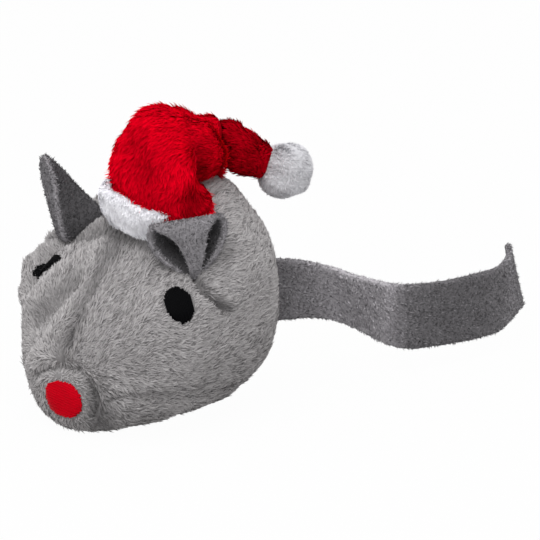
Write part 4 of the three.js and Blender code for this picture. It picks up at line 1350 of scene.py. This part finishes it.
def pile_on_tube(label, rings, creases, body, node, size, finishes, rng, own, bare):
    """A tube of plush: its cloth, and its pile that lies back towards its first ring."""
    points, triangles = tube(rings)
    sink = creased(points, tree_of(points, triangles), creases)[0]
    points = swollen(points, triangles, -(RED_DEPTH - waves(points, RED_LUMPS) + sink))
    cloth = placed(label + "_cloth", points, triangles, body, [node], "red_plush", finishes[0])
    back = np.gradient(rings, axis=0).reshape(-1, 3)
    flows = -unit(np.vstack([back, back[:2]]))
    rows = len(rings) - 1
    wall = np.arange(2 * rows * CROWN_SIDES).reshape(2, rows, CROWN_SIDES)
    wall = triangles[wall[:, bare[0] : rows - bare[1]].ravel()]
    roots, ways, flow = scattered(points, wall, RED_DENSITY, rng, flows)
    flow = combed(flow, ways, waves(roots, RED_SWIRL), 0.1, rng)
    # Painted shade in the folds and painted light on the ridges.
    tone = creased(roots, tree_of(points, triangles), creases)[1]
    # own is painted shade over the whole tube: 1 on the crown, darker on the tip.
    tone = tone * (1 + waves(roots, RED_MOTTLE)) * own
    tufts = locks(roots, ways, flow, *size, rng, tone, **RED_COAT)
    return cloth, pile(label + "_pile", tufts, body, [node], "red_plush", finishes[1])


def trimmed(points):
    """Points moved to the right until none lies left of the cuff's edge in the photograph."""
    eye, right, up, back = (np.array(vector) for vector in camera_place())
    offset = points - eye
    scale = PIXEL_SPREAD * (offset @ -back)
    x = PICTURE_MIDDLE_PX + offset @ right / scale
    y = PICTURE_MIDDLE_PX - offset @ up / scale
    gap = np.maximum(np.interp(y, *np.array(CUFF_EDGE_PX).T) - x, 0)
    return points + (gap * scale)[:, None] * right


class MOUSE_OT_hat(bpy.types.Operator):
    """Makes the hat's cuff, its folded crown and its tip, with their pile"""

    bl_idname = "mouse.hat"
    bl_label = "Hat"

    def execute(self, context):
        settings = context.scene.mouse_hat
        red = pile_finish("Red pile", settings.red, 0.55, 0.12, 0.05, sheen=0.0, gloss=0.0)
        # The red backing, darker than the pile, is painted shade under it.
        shade = [c * 0.35 for c in settings.red]
        finishes = cloth_finish("Red backing", shade, 0.2, sheen=0.0, gloss=0.0), red
        white = pile_finish("White pile", settings.white, 1.0, 0.02, 0.02)
        backing = cloth_finish("White backing", settings.white, 0.05)
        rng = np.random.default_rng(80)
        size = settings.red_length, RED_LOCK
        crown = "mouse", "hat_crown", size, finishes, rng, 1.0, CROWN_BARE
        rings = crown_rings()
        pile_on_tube("hat_crown", rings, CROWN_CREASES_PX, *crown)
        end = rings[-1].mean(axis=0)
        tip = None, "hat_tip", size, finishes, rng, TIP_PAINTED_SHADE, TIP_BARE
        for piece in pile_on_tube("hat_tip", tip_rings(end), TIP_CREASES_PX, *tip):
            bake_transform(piece)
        points, triangles = melted_node("hat_cuff", WHITE_VOXEL, 12)
        points = swollen(points, triangles, waves(points, CUFF_LUMPS) - CUFF_DEPTH)
        sink = creased(points, tree_of(points, triangles), CUFF_CREASES_PX)[0]
        outward = unit((points - middle_of("hat_cuff")) * (1, 1, 0))
        surface = trimmed(points - outward * sink[:, None]), triangles
        placed("hat_cuff_cloth", *surface, "mouse", ["hat_cuff"], "white_pile", backing)
        roots, ways = scattered(*surface, CUFF_DENSITY, rng)
        kept = creased(roots, tree_of(*surface), CUFF_CREASES_PX)[0] < CUFF_COVERED
        roots, ways = roots[kept], ways[kept]
        flow = combed(CUFF_COMB, ways, waves(roots, CUFF_SWIRL), 0.35, rng)
        tufts = locks(roots, ways, flow, settings.white_length, CUFF_LOCK, rng, **CUFF_COAT)
        pile("hat_cuff_pile", tufts, "mouse", ["hat_cuff"], "white_pile", white)
        return {"FINISHED"}


class MOUSE_OT_pompom(bpy.types.Operator):
    """Makes the pompom from fine white pile"""

    bl_idname = "mouse.pompom"
    bl_label = "Pompom"

    def execute(self, context):
        settings = context.scene.mouse_hat
        rng = np.random.default_rng(90)
        points, triangles = melted_node("pompom", WHITE_VOXEL, 4)
        points = swollen(points, triangles, waves(points, POMPOM_LUMPS) + POMPOM_SWELL)
        points = points + [0, 0, POMPOM_RAISE]
        backing = cloth_finish("Pompom backing", [c * POMPOM_TONE for c in settings.white], 0.05)
        ball = placed("pompom_core", points, triangles, "pompom", ["pompom"], "white_pile", backing)
        roots, ways = scattered(points, triangles, POMPOM_DENSITY, rng)
        flow = combed(POMPOM_COMB, ways, waves(roots, POMPOM_SWIRL), 0.5, rng)
        size = settings.white_length, POMPOM_LOCK
        tufts = locks(roots, ways, flow, *size, rng, POMPOM_TONE, **POMPOM_COAT)
        pile("pompom_pile", tufts, "pompom", ["pompom"], "white_pile", bpy.data.materials["White pile"])
        return {"FINISHED"}


# The hidden pieces: slot, voxel, rounds of smoothing, roughening and its size.
WAD = "fibre", 1.2 * MM, 3, 0.25 * MM, 3 * MM
SACHET_SHEET = "sachet_cloth", 0.25 * MM, 2, 0.05 * MM, 1.5 * MM
INNER_PIECES = {
    "front_fibre_wad": WAD,
    "rear_fibre_wad": WAD,
    "sachet_upper_sheet": SACHET_SHEET,
    "sachet_lower_sheet": SACHET_SHEET,
    "dried_catnip": ("dried_catnip", 0.45 * MM, 1, 0.2 * MM, 1.2 * MM),
}
WAD_DEPTH = 3.2 * MM
THREAD_DEPTH = 0.8 * MM
THREAD_STRETCH = 1.2 * MM


class MOUSE_OT_filling(bpy.types.Operator):
    """Makes the hidden filling and finishes the sewing threads"""

    bl_idname = "mouse.filling"
    bl_label = "Filling and Threads"

    def execute(self, context):
        finishes = {
            "fibre": cloth_finish("Fibre", (0.85, 0.84, 0.82), 0.06, 0.6 * MM, 0.4 * MM),
            "sachet_cloth": cloth_finish("Sachet cloth", (0.84, 0.82, 0.77), 0.05, 0.4 * MM, 0.08 * MM),
            "dried_catnip": cloth_finish("Dried leaf", (0.15, 0.17, 0.05), 0.5, 0.9 * MM, 0.6 * MM),
        }
        tree = body_tree()
        for seed, (node, (slot, voxel, rounds, rough, size)) in enumerate(INNER_PIECES.items()):
            points, triangles = melted_node(node, voxel, rounds)
            sunk = rough + waves(points, [(rough, size, 100 + seed)])
            points = swollen(points, triangles, -sunk)
            if slot == "fibre":
                points = kept_inside(points, tree, WAD_DEPTH)
            piece = placed(node + "_soft", points, triangles, "mouse", [node], slot, finishes[slot])
        thread = thread_finish("Grey thread", (0.13, 0.125, 0.125), 0.6)
        for node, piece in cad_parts.items():
            if node.endswith("_thread"):
                points, triangles = arrays_of(piece.data)
                points = kept_inside(points, tree, THREAD_DEPTH, THREAD_STRETCH)
                placed(node + "_laid", points, triangles, "mouse", [node], "grey_thread", thread)
        return {"FINISHED"}


def kept_inside(points, tree, depth, together=0):
    """Points pushed in until they lie a depth below the cloth. Those that are together move as one."""
    found = [tree.find_nearest(place)[:2] for place in points]
    places, ways = (np.array([f[k] for f in found]) for k in (0, 1))
    above = ((points - places) * ways).sum(1) + depth
    if together:
        near = np.linalg.norm(points[:, None] - points, axis=2) < together
        above = (near * above).sum(1) / near.sum(1)
        return points - ways * above[:, None]
    return points - ways * np.maximum(above, 0)[:, None]


FLOOR_HALF = 3.0
FLOOR_WHITE = 0.975
LAMP_SIZE = 0.6
LAMP_DISTANCE = 0.75


def turned_to(piece, place, back):
    """Puts a lamp or a camera at a place, with its back to a direction."""
    piece.location = place
    piece.rotation_euler = back.to_track_quat("Z", "Y").to_euler()


def lamp(name, size, energy, way):
    """A square lamp that shines at the mouse from a direction."""
    data = bpy.data.lights.new(name, "AREA")
    data.size = size
    data.energy = energy
    turned_to(added(name, data), CAMERA_TARGET + way * LAMP_DISTANCE, way)


class MOUSE_OT_stage(bpy.types.Operator):
    """Makes the pale floor, the soft key lamp, the even sky light and the photograph's camera"""

    bl_idname = "mouse.stage"
    bl_label = "Stage"

    def execute(self, context):
        settings = context.scene.mouse_stage
        scene = context.scene
        corners = np.array([(-1, -1, 0), (1, -1, 0), (1, 1, 0), (-1, 1, 0)]) * FLOOR_HALF
        mesh = mesh_of("floor", corners, [(0, 1, 2, 3)])
        added("floor", mesh)
        finish = Finish("Pale floor", 0.9)
        finish.shader.inputs["Base Color"].default_value = (*settings.floor, 1)
        glow = finish.node("ShaderNodeEmission")
        ray = finish.node("ShaderNodeLightPath")
        seen = finish.maths("MAXIMUM", ray.outputs["Is Camera Ray"], ray.outputs["Is Glossy Ray"])
        seen = finish.maths("MAXIMUM", seen, ray.outputs["Is Transmission Ray"])
        mix = finish.node("ShaderNodeMixShader")
        finish.join(finish.maths("MULTIPLY", seen, FLOOR_WHITE), mix.inputs[0])
        finish.join(finish.shader.outputs["BSDF"], mix.inputs[1])
        finish.join(glow.outputs["Emission"], mix.inputs[2])
        output = next(n for n in finish.nodes if n.type == "OUTPUT_MATERIAL")
        finish.join(mix.outputs["Shader"], output.inputs["Surface"])
        mesh.materials.append(finish.material)
        place, right, up, back = camera_place()
        lamp("key", LAMP_SIZE, settings.key, (0.75 * back - 0.2 * right + 0.8 * up).normalized())
        world = bpy.data.worlds.new("sky")
        scene.world = world
        world.use_nodes = True
        sky = world.node_tree.nodes["Background"].inputs
        sky["Strength"].default_value = settings.fill
        sky["Color"].default_value = (1, 1, 1, 1)
        data = bpy.data.cameras.new("camera")
        data.sensor_width = 36
        data.lens = data.sensor_width * CAMERA_DISTANCE / PICTURE_SPAN
        data.clip_start = 0.05
        data.clip_end = 20
        scene.camera = added("camera", data)
        turned_to(scene.camera, place, back)
        scene.view_settings.view_transform = "Standard"
        return {"FINISHED"}


STEPS = [
    MOUSE_OT_stage,
    MOUSE_OT_panels,
    MOUSE_OT_plush,
    MOUSE_OT_embroidery,
    MOUSE_OT_ears,
    MOUSE_OT_tail,
    MOUSE_OT_hat,
    MOUSE_OT_pompom,
    MOUSE_OT_filling,
]


class MOUSE_PT_tools(bpy.types.Panel):
    """Lists the steps that make the mouse"""

    bl_idname = "MOUSE_PT_tools"
    bl_label = "Catnip Mouse"
    bl_space_type = "VIEW_3D"
    bl_region_type = "UI"
    bl_category = "Mouse"

    def draw(self, context):
        for step in STEPS:
            self.layout.operator(step.bl_idname)


GROUPS = {
    "mouse_plush": MousePlush,
    "mouse_felt": MouseFelt,
    "mouse_hat": MouseHat,
    "mouse_stitching": MouseStitching,
    "mouse_stage": MouseStage,
}


def register():
    """Adds the settings, the steps and the panel."""
    for name, group in GROUPS.items():
        bpy.utils.register_class(group)
        setattr(bpy.types.Scene, name, PointerProperty(type=group))
    for kind in (*STEPS, MOUSE_PT_tools):
        bpy.utils.register_class(kind)


def unregister():
    """Takes them away again."""
    for kind in (MOUSE_PT_tools, *reversed(STEPS)):
        bpy.utils.unregister_class(kind)
    for name, group in GROUPS.items():
        delattr(bpy.types.Scene, name)
        bpy.utils.unregister_class(group)


def main():
    """Makes the mouse."""
    register()
    for step in STEPS:
        area, name = step.bl_idname.split(".")
        getattr(getattr(bpy.ops, area), name)()


if __name__ == "__main__":
    main()
